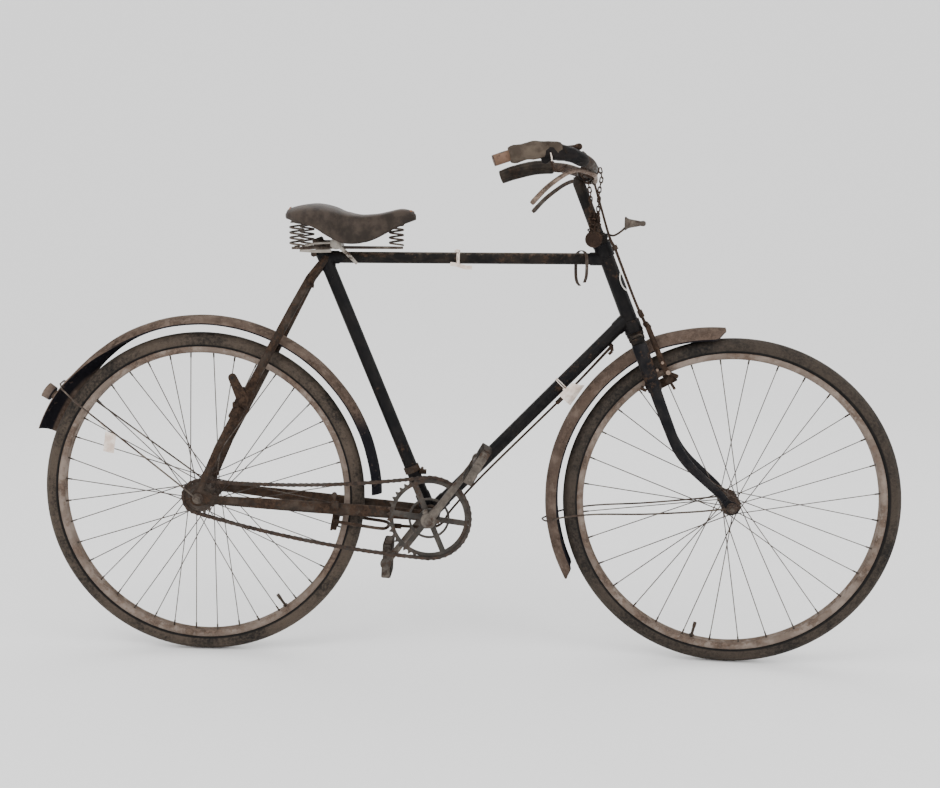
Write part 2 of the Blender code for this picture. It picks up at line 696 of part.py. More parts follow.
def crank(name, side):
    """An arm with its pedal spindle; the left one also carries the axle."""
    eye = bracket + crank_arm * -side
    faces = sorted((side * CRANK_INNER_Y, side * (CRANK_INNER_Y + CRANK_THICKNESS)))
    arm = arm_outline(bracket, CRANK_BOSS_R, eye, CRANK_EYE_R, *faces)
    arm = add_object("crank_" + name, arm, crank_axis, WORN_CHROME)
    ends = (side * (CRANK_INNER_Y + 0.002), side * (PEDAL_INNER_Y + PEDAL_LENGTH - 0.006))
    spindle = tube([eye + Y_AXIS * y for y in ends], SPINDLE_R, 8, X_AXIS)
    combine(arm, add_object("spindle_" + name, spindle, crank_axis))
    if side > 0:
        ends = (GAP - CRANK_INNER_Y, CRANK_INNER_Y + CRANK_THICKNESS + 0.004)
        rod = tube([bracket + Y_AXIS * y for y in ends], CRANK_AXLE_R, 12, X_AXIS)
        combine(arm, add_object("crank_axle", rod, crank_axis))
    else:
        cap = tube([bracket - Y_AXIS * (CRANK_INNER_Y + 0.005), bracket - Y_AXIS * (CRANK_INNER_Y + 0.018)],
                   CRANK_AXLE_R, 12, X_AXIS)
        combine(arm, add_object("crank_cap", cap, crank_axis))


def pedal(name, side, parent, angle):
    """Two rubber blocks between end plates, round a tube that turns on the spindle."""
    centre = bracket + crank_arm * -side
    turn = Matrix.Rotation(-angle, 4, "Y")
    inner = side * PEDAL_INNER_Y
    outer = side * (PEDAL_INNER_Y + PEDAL_LENGTH)
    middle = (inner + outer) / 2
    body = tube([centre + Y_AXIS * (inner + side * GAP), centre + Y_AXIS * (outer + side * 0.005)],
                PEDAL_TUBE_R, 12, X_AXIS)
    body = add_object("pedal_" + name, body, parent, OLD_RUBBER)
    along = turn @ X_AXIS
    parts = bmesh.new()
    for way in (-1, 1):
        size = (PEDAL_BLOCK[0], PEDAL_LENGTH - 2 * PEDAL_PLATE, PEDAL_BLOCK[1])
        block(centre + along * way * PEDAL_SPREAD + Y_AXIS * middle, size, turn, parts)
    combine(body, add_object("pedal_blocks_" + name, parts, parent))
    plates = bmesh.new()
    for y in (inner + side * PEDAL_PLATE * 0.7, outer - side * PEDAL_PLATE * 0.7):
        size = (2 * PEDAL_SPREAD + PEDAL_BLOCK[0] * 0.8, PEDAL_PLATE, PEDAL_BLOCK[1] * 0.8)
        block(centre + Y_AXIS * y, size, turn, plates)
    combine(body, add_object("pedal_plates_" + name, plates, parent))
    bore_ends = (inner - side * 0.01, outer - side * 0.004)
    bore = tube([centre + Y_AXIS * y for y in bore_ends], PEDAL_BORE_R, 12, X_AXIS)
    combine(body, add_object("pedal_bore_" + name, bore, parent), "DIFFERENCE")


# Fork, stem and handlebar

def fork():
    crown_middle = on_head_axis((FORK_CROWN_TOP_Z + CROWN_Z) / 2)
    thickness = (on_head_axis(FORK_CROWN_TOP_Z) - on_head_axis(CROWN_Z)).length
    tilt = Matrix.Rotation(-math.atan(HEAD_TILT), 4, "Y")
    size = (FORK_CROWN_DEPTH, 2 * (BLADE_Y + BLADE_HALF_WIDTH + 0.002), thickness)
    crown = add_object("fork_crown", block(crown_middle, size, tilt), steering, BLACK_ENAMEL)
    nut_z = HEAD_TUBE_TOP_Z + 0.0012
    race_z = HEAD_TUBE_BOTTOM_Z - 0.0008
    stops = ((FORK_CROWN_TOP_Z - 0.004, HEAD_TUBE_R), (race_z, HEAD_TUBE_R), (race_z + GAP, STEERER_R),
             (nut_z - GAP, STEERER_R), (nut_z, LOCK_NUT_R), (LOCK_NUT_TOP_Z - 0.006, LOCK_NUT_R),
             (LOCK_NUT_TOP_Z, STEM_R + 0.002))
    column = tube([on_head_axis(z) for z, _ in stops], [radius for _, radius in stops], 14)
    combine(crown, add_object("steerer", column, steering))


def fork_blade(name, side):
    """Straight along the head's slope, then a forward sweep to the axle, with a bored end."""
    start = on_head_axis(CROWN_Z) - head_up * GAP
    y = BLADE_Y
    sweep = from_place(front_axle, ((-0.159, 0.0508, 0.2275), (-0.137, 0.051, 0.1715),
                                    (-0.117, 0.051, 0.1245), (-0.091, 0.051, 0.0885),
                                    (-0.055, 0.0505, 0.0545), (-0.023, y, 0.0255)))
    path = mirrored([start + Y_AXIS * y, *smooth_path(sweep, 2)], side)
    sizes = []
    for index in range(len(path)):
        share = max(0.0, (index - 2) / (len(path) - 3))
        sizes.append((BLADE_HALF_WIDTH + (BLADE_TIP_R - 0.002 - BLADE_HALF_WIDTH) * share,
                      BLADE_HALF_DEPTH + (BLADE_TIP_R - BLADE_HALF_DEPTH) * share))
    path.append(front_axle + Vector((-0.010, path[-1].y, 0.008)))
    sizes.append((0.0022, BLADE_TIP_R))
    bm = tube(path, sizes, 12)
    for vertex in bm.verts[:12]:
        lift = (vertex.co - start).dot(head_up)
        vertex.co -= head_up * lift
    blade = add_object("fork_blade_" + name, bm, steering, BLACK_ENAMEL)
    faces = sorted((side * FORK_END_Y, side * (FORK_END_Y + DROPOUT_THICKNESS)))
    end = washer(front_axle, FORK_END_R, AXLE_R + GAP, *faces, sides=16)
    combine(blade, add_object("fork_end_" + name, end, steering))
    hole = tube([front_axle - Y_AXIS * 0.1, front_axle + Y_AXIS * 0.1], AXLE_R + GAP, 12, X_AXIS)
    combine(blade, add_object("fork_hole_" + name, hole, steering), "DIFFERENCE")


def stem():
    """The quill rises along the steering axis and holds the bar in a split clamp."""
    path = [on_head_axis(LOCK_NUT_TOP_Z) + head_up * GAP, on_head_axis(STEM_TOP_Z - 0.02),
            on_head_axis(STEM_TOP_Z)]
    quill = add_object("stem", tube(path, STEM_R, 14), steering, BLACK_ENAMEL)
    ends = bar_turned([(0, y, 0) for y in (-BAR_CLAMP_HALF_WIDTH, BAR_CLAMP_HALF_WIDTH)])
    combine(quill, add_object("bar_clamp", tube(ends, BAR_CLAMP_R, 14, X_AXIS), steering))
    ends = bar_turned([(0, y, 0) for y in (-0.1, 0.1)])
    bore = add_object("bar_clamp_bore", tube(ends, BAR_SLEEVE_BORE_R, 14, X_AXIS), steering)
    combine(quill, bore, "DIFFERENCE")


BAR_ROUTE = (           # from the middle of the clamp out to the left hand
    (0.008, 0.060, 0.0005), (0.010, 0.115, 0.0035), (-0.005, 0.172, 0.0135), (-0.045, 0.211, 0.0275),
    (-0.102, 0.228, 0.0295), (-0.154, 0.234, 0.0185), (-0.1845, 0.238, 0.008))
LEVER_ROUTE = (         # from the same place
    (0.020, 0.028, -0.0185), (0.018, 0.075, -0.012), (0.012, 0.122, -0.0105), (-0.016, 0.165, -0.0045),
    (-0.037, 0.190, -0.0095), (-0.062, 0.205, -0.0255), (-0.085, 0.208, -0.0445), (-0.111, 0.208, -0.0725))


def bar_turned(points):
    """The bar was knocked: it is rolled and swung a little in its clamp."""
    turn = Matrix.Rotation(BAR_YAW, 3, "Z") @ Matrix.Rotation(-BAR_ROLL, 3, "X")
    return [bar_middle + turn @ Vector(p) for p in points]


def bar_side(side):
    """One half of the bar's middle line, from the clamp out to the hand."""
    straight = Vector((0, side * (BAR_CLAMP_HALF_WIDTH + 0.004), 0))
    return [Vector(), *smooth_path([straight, *mirrored(BAR_ROUTE, side)], 3)]


def handlebar():
    right = bar_side(-1)
    left = bar_side(1)
    grip_start = len(left) - 9
    path = bar_turned([*reversed(right), *left[1:grip_start]])
    bm = tube(path, BAR_R, 10, Z_AXIS)
    add_object("handlebar", bm, steering, RUSTY_STEEL)

    torn = bar_turned(right[-12:-3])
    radii = [0.0165, 0.018, 0.0175, 0.0165, 0.017, 0.0175, 0.0165, 0.0155, 0.0145]
    grip = tube(torn, radii, 10, Z_AXIS, bore=BAR_SLEEVE_BORE_R)
    add_object("grip_right", grip, steering, OLD_RUBBER)

    along = (path[-1] - path[-2]).normalized()
    rest = bar_turned(left[grip_start:])
    grip = tube([path[-1] + along * GAP, path[-1] + along * 0.004, *rest], 0.0155, 12, Z_AXIS)
    add_object("grip_left", grip, steering, OLD_RUBBER)


def brake_lever(name, side):
    """A bent rod carried under the bar by a bracket, reaching back below the grip."""
    path = bar_turned(smooth_path(mirrored(LEVER_ROUTE, side), 2))
    lever = add_object("brake_lever_" + name, tube(path, LEVER_R, 8, Z_AXIS), steering, WORN_CHROME)
    ends = bar_turned(mirrored([(0.0086, 0.068, 0.0008), (0.0092, 0.084, 0.0016)], side))
    sleeve = tube(ends, 0.0155, 12, Z_AXIS, bore=BAR_SLEEVE_BORE_R)
    combine(lever, add_object("lever_bracket_" + name, sleeve, steering))
    combine(lever, bar_clearance(side), "DIFFERENCE")


def bar_clearance(side):
    label = "left" if side > 0 else "right"
    sleeve = tube(bar_turned(bar_side(side)), BAR_SLEEVE_BORE_R, 12, Z_AXIS)
    return add_object("bar_clearance_" + label, sleeve, steering)


# Rod brakes

def front_brake():
    """A rod from the lever down past the head to a stirrup that straddles the tyre."""
    stops = ((0.032, -0.016, STEM_TOP_Z - 0.009, BRAKE_ROD_R),
             (0.0284, -0.018, STEM_TOP_Z - 0.046, BRAKE_ROD_R),
             (0.0221, -0.024, HEAD_TUBE_TOP_Z + 0.018, BRAKE_ROD_R),
             (0.025, -0.028, HEAD_TUBE_TOP_Z - 0.005, 0.005),
             (0.0249, -0.028, HEAD_TUBE_TOP_Z - 0.013, 0.0042), (0.0256, -0.024, CROWN_Z + 0.089, 0.004),
             (0.0297, -0.010, CROWN_Z + 0.0375, 0.004))
    rod = tube([by_head(*stop[:3]) for stop in stops], [stop[3] for stop in stops], 8)
    add_object("front_brake_rod", rod, steering, RUST)

    shoe = on_circle(front_axle, SHOE_R, FRONT_SHOE_ANGLE)
    half = [by_head(0.0322, 0.0, CROWN_Z + 0.0335), by_head(0.0322, 0.022, CROWN_Z + 0.026),
            by_head(0.0322, 0.0365, CROWN_Z + 0.007), by_head(0.0353, 0.0385, CROWN_Z - 0.023),
            *from_place(shoe, ((-0.0008, 0.037, 0.0323), (0.0012, 0.026, 0.0143),
                               (-0.0008, 0.0165, 0.0078)))]
    stirrup("front", half, front_axle, FRONT_SHOE_ANGLE, steering)


def stirrup(name, half, centre, angle, parent):
    """A rod bent round the rim, from its middle out to a brake block each side."""
    path = [*reversed(mirrored(half, -1)), *mirrored(half, 1)[1:]]
    arch = add_object(name + "_brake_stirrup", tube(path, STIRRUP_R, 8, Z_AXIS), parent, RUST)
    combine(arch, add_object(name + "_shoes", shoes(centre, angle), parent))


def shoes(centre, angle):
    """A brake block on each side, just inside the rim and clear of the spokes."""
    bm = bmesh.new()
    turn = Matrix.Rotation(-angle, 4, "Y")
    for side in (-1, 1):
        block(on_circle(centre, SHOE_R, angle, side * SHOE_Y), SHOE_SIZE, turn, bm)
    return bm


def rear_brake():
    """The stirrup lies under the chain stays, and its rod runs below the down tube."""
    shoe = on_circle(rear_axle, SHOE_R, REAR_SHOE_ANGLE)
    half = [*from_place(bracket, ((-0.0912, 0.0, -0.0297), (-0.0952, 0.024, -0.0297),
                                  (-0.1092, 0.0335, -0.0282))),
            *from_place(shoe, ((0.0522, 0.034, -0.0068), (0.0122, 0.034, -0.0008), (0.0012, 0.026, 0.0002),
                               (-0.0018, 0.0165, 0.0002)))]
    stirrup("rear", half, rear_axle, REAR_SHOE_ANGLE, bicycle)

    path = []
    for share, below in ((0.876, 0.0033), (0.875, 0.0176), (0.866, 0.0196), (0.713, 0.0228),
                         (0.564, 0.0231), (0.231, 0.0220)):
        path.append(bracket.lerp(down_tube_top, share) + down_below * below)
    path += from_place(bracket, ((0.0458, 0, 0.0078), (0.0278, 0, -0.0222), (0.0008, 0, -0.0327),
                                 (-0.0862, 0, -0.0297)))
    radii = [0.005, 0.005, 0.0035, *[BRAKE_ROD_R] * 5, 0.004, 0.004]
    rod = add_object("rear_brake_rod", tube(path, radii, 8), bicycle, RUST)
    clear = tube([bracket + down_along * 0.1, down_tube_top], DOWN_TUBE_R + LUG_WALL + GAP, 14)
    combine(rod, add_object("down_tube_clearance", clear, bicycle), "DIFFERENCE")


# Mudguards

def guard_section(centre, radius, rise, angle, roll=0.0, shift=0.0):
    """A domed strip's cross-section at one angle: outer points, then inner ones back."""
    outline = []
    shares = (-1, -0.6, 0, 0.6, 1)
    for share in shares:
        outline.append((share * GUARD_HALF_WIDTH, -rise * share**2))
    for share in reversed(shares):
        outline.append((share * (GUARD_HALF_WIDTH - GUARD_SHEET), -rise * share**2 - GUARD_SHEET))
    points = []
    for y, r in outline:
        turned_y = y * math.cos(roll) + (r + rise / 2) * math.sin(roll)
        turned_r = (r + rise / 2) * math.cos(roll) - y * math.sin(roll) - rise / 2
        points.append(on_circle(centre, radius + turned_r, angle, turned_y + shift))
    return points


def rear_mudguard():
    """Its tail is bent sideways, so that the hollow side faces right."""
    loops = []
    start, end, twist_start = math.radians(0.8), math.radians(159.5), math.radians(112)
    for step in range(29):
        angle = start + (end - start) * step / 28
        share = max(0.0, (angle - twist_start) / (end - twist_start))
        ease = share * share * (3 - 2 * share)
        radius = REAR_GUARD_R - 0.005 * ease - 0.006 * max(0.0, -math.cos(angle))
        loops.append(guard_section(rear_axle, radius, REAR_GUARD_RISE, angle,
                                   REAR_GUARD_TWIST * ease, 0.014 * ease))
    bm = bmesh.new()
    join_loops(bm, loops)
    add_object("rear_mudguard", bm, bicycle, RUST)


def front_mudguard():
    loops = []
    tip, crown, end = math.radians(93.2), math.radians(115), math.radians(208)
    for step in range(23):
        angle = tip + (end - tip) * step / 22
        share = max(0.0, (crown - angle) / (crown - tip))
        radius = FRONT_GUARD_R + (FRONT_GUARD_TIP_R - FRONT_GUARD_R) * share
        loops.append(guard_section(front_axle, radius, FRONT_GUARD_RISE, angle))
    bm = bmesh.new()
    join_loops(bm, loops)
    add_object("front_mudguard", bm, steering, RUST)


def guard_stays():
    """Each is one wire from eye to eye of the axle, bent over the outside of its mudguard."""
    inner_y = DROPOUT_Y + DROPOUT_THICKNESS + GAP
    reach = REAR_GUARD_R
    half = from_place(rear_axle, ((-0.0092, inner_y + WIRE_OFFSET, 0.006),
                                  (-0.103 * reach, 0.067, 0.08 * reach),
                                  (-0.688 * reach, 0.047, 0.521 * reach),
                                  (-0.7695 * reach, 0.040, 0.595 * reach)))
    tail = from_place(rear_axle, ((-0.8217 * reach, -0.012, 0.633 * reach),
                                  (-0.805 * reach, 0.028, 0.623 * reach)))
    path = [*mirrored(half, -1), *tail, *reversed(mirrored(half, 1))]
    stay_with_eyes("rear", path, rear_axle, inner_y, bicycle)

    inner_y = FORK_END_Y + DROPOUT_THICKNESS + GAP
    reach = FRONT_GUARD_R
    half = from_place(front_axle, ((-0.011, inner_y + WIRE_OFFSET, -0.0009),
                                   (-0.211 * reach, 0.054, -0.0267 * reach),
                                   (-0.4656 * reach, 0.048, -0.0522 * reach),
                                   (-0.72 * reach, 0.040, -0.0674 * reach),
                                   (-0.898 * reach, 0.033, -0.0954 * reach),
                                   (-0.982 * reach, 0.024, -0.126 * reach),
                                   (-1.0165 * reach, 0.0, -0.1285 * reach)))
    path = [*mirrored(half, -1), *reversed(mirrored(half[:-1], 1))]
    stay_with_eyes("front", path, front_axle, inner_y, steering)


def stay_with_eyes(name, path, centre, inner_y, parent):
    wire = tube(path, STAY_R, 6, Z_AXIS)
    wire = add_object(name + "_mudguard_stay", wire, parent, RUSTY_STEEL)
    for side, label in ((-1, "right"), (1, "left")):
        faces = sorted((side * inner_y, side * (inner_y + EYE_THICKNESS)))
        eye = washer(centre, EYE_R, AXLE_R + GAP, *faces)
        combine(wire, add_object(f"{name}_stay_eye_{label}", eye, parent))


def rear_lamp():
    angle = math.radians(147.5)
    outward = Vector((math.cos(angle), 0, math.sin(angle)))
    base = on_circle(rear_axle, REAR_GUARD_R - 0.0015, angle, 0.004)
    path = [base + outward * 0.002, base + outward * 0.006, base + outward * 0.0062, base + outward * 0.026]
    add_object("rear_lamp", tube(path, [0.010, 0.010, 0.0165, 0.0175], 14), bicycle, RUST)


# Saddle

SADDLE_SECTIONS = (     # how far ahead of the top, half width, and top, edge and skirt heights
    (-0.069, 0.048, 0.971, 0.963, 0.957),
    (-0.059, 0.078, 0.981, 0.965, 0.955),
    (-0.032, 0.097, 0.989, 0.966, 0.948),
    (0.0, 0.100, SADDLE_TOP_Z, 0.965, 0.939),
    (0.028, 0.084, 0.986, 0.963, 0.924),
    (0.056, 0.058, 0.974, 0.960, 0.907),
    (0.086, 0.042, 0.967, 0.957, 0.9045),
    (0.113, 0.035, 0.968, 0.959, 0.913),
    (0.143, 0.030, 0.973, 0.963, 0.928),
    (0.173, 0.026, 0.979, 0.967, 0.943),
    (0.193, 0.020, 0.976, 0.964, 0.951),
    (0.204, 0.010, 0.967, 0.959, 0.955),
)


def saddle_leather():
    """A shaped hide, open below, with side skirts."""
    loops = []
    for ahead, half, top, edge, skirt in SADDLE_SECTIONS:
        wall = min(LEATHER, half * 0.35)
        side_y = half - 0.002

        def arch(y_edge, lowered, inset):
            points = [(-y_edge + inset * 0.4, skirt), (-y_edge, edge - lowered)]
            for share in (-0.7, -0.35, 0, 0.35, 0.7):
                points.append((share * y_edge, edge + (top - edge) * (1 - share * share) - lowered))
            return [*points, (y_edge, edge - lowered), (y_edge - inset * 0.4, skirt)]

        outer = arch(half, 0.0, 0.006)
        inner = arch(side_y - wall, wall, 0.006)
        x = SADDLE_TOP_X + ahead
        loops.append([Vector((x, y, z)) for y, z in [*outer, *reversed(inner)]])
    bm = bmesh.new()
    join_loops(bm, loops)
    add_object("saddle_leather", bm, bicycle, DRY_LEATHER)


def saddle_frame():
    """A clamp with a pair of wire rails that carry the springs, and a loose strap end."""
    clamp = add_object("saddle_frame", block((CLAMP_X, 0, CLAMP_Z), CLAMP_SIZE), bicycle, WORN_CHROME)
    for side, name in ((-1, "right"), (1, "left")):
        route = [(REAR_SPRING_X, REAR_SPRING_Y, RAIL_Z), (CLAMP_X - 0.042, 0.050, RAIL_Z),
                 (CLAMP_X - 0.014, 0.026, RAIL_Z), (CLAMP_X + 0.016, 0.021, RAIL_Z),
                 (CLAMP_X + 0.063, 0.014, RAIL_Z), (FRONT_SPRING_X, 0.007, RAIL_Z)]
        rail = tube(mirrored(route, side), RAIL_R, 8, Z_AXIS)
        combine(clamp, add_object("rail_" + name, rail, bicycle))
        seat = Vector(mirrored(route, side)[0])
        plate = tube([seat - Z_AXIS * 0.0025, seat + Z_AXIS * 0.0025], 0.012, 12, X_AXIS)
        combine(clamp, add_object("spring_seat_" + name, plate, bicycle))
    seat = Vector((FRONT_SPRING_X, 0, RAIL_Z))
    plate = tube([seat - Z_AXIS * 0.0025, seat + Z_AXIS * 0.0025], 0.0145, 12, X_AXIS)
    combine(clamp, add_object("spring_seat_front", plate, bicycle))
    strap = tube([(CLAMP_X + 0.0065, -0.0305, 0.901), (CLAMP_X + 0.046, -0.0335, 0.862)], (0.0009, 0.004), 4)
    combine(clamp, add_object("loose_strap", strap, bicycle))


def saddle_spring(name, x, y):
    steps = 8
    low = RAIL_Z + 0.0025 + GAP + SPRING_WIRE_R
    high = SPRING_TOP_Z - SPRING_WIRE_R
    path = []
    for index in range(SPRING_TURNS * steps + 1):
        share = index / (SPRING_TURNS * steps)
        angle = math.tau * index / steps
        rise = low + (high - low) * share
        path.append(Vector((x + SPRING_R * math.cos(angle), y + SPRING_R * math.sin(angle), rise)))
    add_object("saddle_spring_" + name, tube(path, SPRING_WIRE_R, 4, Z_AXIS), bicycle, RUST)


def seat_post():
    """A pin shaped like a 7, whose arm reaches forward to the saddle's clamp."""
    top = on_seat_tube(SEAT_LUG_Z)
    path = [top + (top - bracket).normalized() * GAP, on_seat_tube(POST_TOP_Z)]
    post = add_object("seat_post", tube(path, POST_R, 14), bicycle, RUSTY_STEEL)
    face = CLAMP_X - CLAMP_SIZE[0] / 2 - GAP
    start = on_seat_tube(CLAMP_Z)
    arm = tube([start, Vector((face, 0, start.z))], 0.0078, 12)
    combine(post, add_object("seat_post_arm", arm, bicycle))


# Fittings

def dynamo_bracket():
    """Two bands on the right seat stay, one with an arm and a bored lug."""
    route = seat_stay_route(-1)
    low, high = route[1].lerp(route[2], 0.6155), route[2].lerp(route[3], 0.481)
    along = high - low
    bands = bmesh.new()
    tube([low, low + along * 0.30], 0.0135, 12, bm=bands)
    tube([low + along * 0.34, low + along * 0.70], 0.0165, 12, bm=bands)
    base = low + along * 0.5
    body = add_object("dynamo_bracket", bands, bicycle, RUST)
    join = block(low + along * 0.32 + Vector((-0.008, -0.011, 0.004)), (0.014, 0.006, 0.014))
    combine(body, add_object("band_link", join, bicycle))
    lug = base + Vector((-0.0215, -0.0178, 0.0472))
    arm = arm_outline(base, 0.013, lug, 0.009, -0.0735, -0.0680)
    combine(body, add_object("dynamo_arm", arm, bicycle))
    stay = tube([low - along * 0.3, high + along * 0.3], SEAT_STAY_R + 0.0012, 14)
    combine(body, add_object("band_bore", stay, bicycle), "DIFFERENCE")
    hole = tube([lug - Y_AXIS * 0.02, lug + Y_AXIS * 0.02], 0.0035, 10, X_AXIS)
    combine(body, add_object("lug_hole", hole, bicycle), "DIFFERENCE")


def horn_cup():
    """A small cup on a wire, held at the top of the head."""
    start = on_head_axis(LOCK_NUT_TOP_Z - 0.0065) + head_forward * (LOCK_NUT_R + 0.0035)
    bend = from_place(on_head_axis(LOCK_NUT_TOP_Z), ((0.0333, -0.012, -0.0015), (0.0483, -0.019, 0.008),
                                                     (0.0583, -0.020, 0.018)))
    stalk = tube([start, *bend], 0.0024, 8)
    mouth = bend[-1] + Vector((-0.004, 0, 0.006))
    stops = ((0.0, 0.0135), (0.0035, 0.0145), (0.007, 0.011), (0.021, 0.0075), (0.033, 0.0055),
             (0.039, 0.0058), (0.044, 0.003))
    cup = tube([mouth + X_AXIS * reach for reach, _ in stops], [radius for _, radius in stops], 12)
    cup = add_object("horn_cup", cup, steering, RUSTY_STEEL)
    combine(cup, add_object("horn_stalk", stalk, steering))


def security_chain():
    """A chain hung over the bar and the lever, closed by a padlock."""
    hung = bar_middle - Y_AXIS * 0.045
    route = [(0.021, -0.1095), (0.0285, -0.1015), (0.0275, -0.0715), (0.0295, -0.0325), (0.0335, -0.0075),
             (0.030, 0.0075), (0.009, 0.023), (-0.011, 0.0075), (-0.0055, -0.008), (0.006, -0.0195),
             (0.0115, -0.0425), (0.012, -0.0715), (0.0135, -0.1015)]
    loop = from_place(hung, [(x, 0, z) for x, z in route])
    add_object("security_chain", tube(loop, 0.0034, 6, Y_AXIS, closed=True), steering, RUST)
    body = block(hung + Vector((0.020, 0, -0.138)), (0.034, 0.020, 0.033))
    bmesh.ops.bevel(body, geom=body.edges[:], offset=0.005, segments=2, affect="EDGES")
    body = add_object("padlock", body, steering, RUST)
    half = [(0.021, 0.0068, -0.1255), (0.021, 0.0068, -0.1055), (0.021, 0.004, -0.099)]
    path = from_place(hung, [*mirrored(half, -1), *reversed(mirrored(half, 1))])
    combine(body, add_object("shackle", tube(path, 0.0024, 8, X_AXIS), steering))


def band_clip():
    """A thin steel band, sprung open, that hangs on the top tube."""
    swing = Matrix.Rotation(math.radians(28), 3, "Z")
    middle = by_head(-0.054, 0, TOP_TUBE_Z) - Z_AXIS * 0.021
    route = [(-0.014, -0.0285), (-0.0215, -0.012), (-0.0215, 0.020), (-0.016, 0.033), (0, 0.0385),
             (0.016, 0.033), (0.0215, 0.020), (0.0215, -0.012), (0.016, -0.0285), (0.005, -0.036)]
    path = [middle + swing @ Vector((0, y, z)) for y, z in route]
    bm = tube(path, (0.0008, 0.004), 4, swing @ Y_AXIS)
    add_object("band_clip", bm, bicycle, RUST)


def before_guard(z):
    """The point just behind the front mudguard's middle line at one height."""
    clear = FRONT_GUARD_R + TAG_CLEARANCE
    return front_axle + Vector((-math.sqrt(clear**2 - (z - AXLE_Z)**2), 0, z - AXLE_Z))


def labels():
    """Bare card labels, tied to the top tube, the down tube and a mudguard stay."""
    spot = on_seat_tube(TOP_TUBE_Z) + X_AXIS * 0.281
    tie = tube([spot, spot + X_AXIS * 0.006], TOP_TUBE_R + 0.0016, 12)
    tie = add_object("top_tube_label", tie, bicycle, LABEL)
    knot = block(spot + Vector((0.002, -0.002, TOP_TUBE_R + 0.003)), (0.013, 0.012, 0.006))
    combine(tie, add_object("top_tube_knot", knot, bicycle))
    strip = from_place(spot, ((-0.014, -0.007, -0.011), (0.002, -0.006, -0.0147), (0.017, -0.0065, -0.019),
                              (0.031, -0.008, -0.0195)))
    strip = tube(strip, (0.0045, 0.0035), 8)
    combine(tie, add_object("top_tube_card", strip, bicycle))
    keep = tube([spot - X_AXIS * 0.05, spot + X_AXIS * 0.05], TOP_TUBE_R + 0.0006, 12)
    combine(tie, add_object("top_tube_label_bore", keep, bicycle), "DIFFERENCE")

    spot = bracket.lerp(down_tube_top, 0.6635)
    tie = tube([spot, spot + down_along * 0.004], DOWN_TUBE_R + 0.0018, 14)
    tie = add_object("down_tube_label", tie, bicycle, LABEL)
    knot = spot + down_along * 0.002 + down_below * 0.012 - Y_AXIS * 0.013
    combine(tie, add_object("down_tube_knot", block(knot, (0.008, 0.008, 0.008)), bicycle))
    card = bmesh.new()
    loops = []
    for step in range(9):
        share = step / 8
        curl = Y_AXIS * (-0.0155 - 0.004 * math.sin(share * math.pi) + 0.0195 * share**2)
        low = (spot + Vector((-0.004, 0, -0.021))).lerp(before_guard(spot.z - 0.046), share) + curl
        high = (spot + Vector((0.0235, 0, 0.005))).lerp(before_guard(spot.z - 0.002), share) + curl
        out = Y_AXIS * 0.0005
        loops.append([low - out, high - out, high + out, low + out])
    join_loops(card, loops)
    combine(tie, add_object("down_tube_card", card, bicycle))
    keep = tube([spot - down_along * 0.1, spot + down_along * 0.1], DOWN_TUBE_R + 0.0006, 14)
    combine(tie, add_object("down_tube_label_bore", keep, bicycle), "DIFFERENCE")

    knot = rear_axle + Vector((-0.5452 * REAR_GUARD_R, -0.0515, 0.411 * REAR_GUARD_R))
    string = tube(from_place(knot, ((-0.004, 0, 0), (0, 0, -0.006), (0.009, -0.0005, -0.0198))), 0.0011, 6)
    hang = add_object("stay_label", string, bicycle, LABEL)
    card = block(knot + Vector((0.0155, -0.0005, -0.0438)), (0.022, 0.0012, 0.050),
                 Matrix.Rotation(math.radians(-12), 4, "Y"))
    combine(hang, add_object("stay_card", card, bicycle))


clearances = cutters()
head_tube()
main_tubes(clearances)
bottom_bracket()
for stay_name, stay_side in (("right", -1), ("left", 1)):
    rear_stays(stay_name, stay_side, clearances)
    fork_blade(stay_name, stay_side)
    brake_lever(stay_name, stay_side)
    crank(stay_name, stay_side)
eye_stack = DROPOUT_THICKNESS + EYE_THICKNESS + 2 * GAP
axle("rear_axle", rear_axle, bicycle, DROPOUT_Y + eye_stack)
axle("front_axle", front_axle, steering, FORK_END_Y + eye_stack)
tyre("rear_tyre", rear_axle, rear_hub)
tyre("front_tyre", front_axle, front_hub)
wheel("rear_wheel", rear_axle, rear_hub, (0.0175, 0.029, 0.026, 0.034, 0.0385, 0.052), 40, 4)
wheel("front_wheel", front_axle, front_hub, (0.011, 0.021, 0.032, 0.032, 0.043, 0.043), 32, 3)
rear_sprocket()
chainring()
chain()
pedal("right", -1, right_spindle, RIGHT_PEDAL_ANGLE)
pedal("left", 1, left_spindle, LEFT_PEDAL_ANGLE)
fork()
stem()
handlebar()
front_brake()
rear_brake()
rear_mudguard()
front_mudguard()
guard_stays()
rear_lamp()
saddle_leather()
saddle_frame()
for spring_name, spring_x, spring_y in (("right", REAR_SPRING_X, -REAR_SPRING_Y),
                                        ("left", REAR_SPRING_X, REAR_SPRING_Y),
                                        ("front", FRONT_SPRING_X, 0)):
    saddle_spring(spring_name, spring_x, spring_y)
seat_post()
dynamo_bracket()
horn_cup()
security_chain()
band_clip()
labels()
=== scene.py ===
"""Looks of an old roadster bicycle with rod brakes: paint, rust, leather, rubber, chain and spokes."""
import math

import bmesh
import bpy
from mathutils import Matrix, Quaternion, Vector, noise


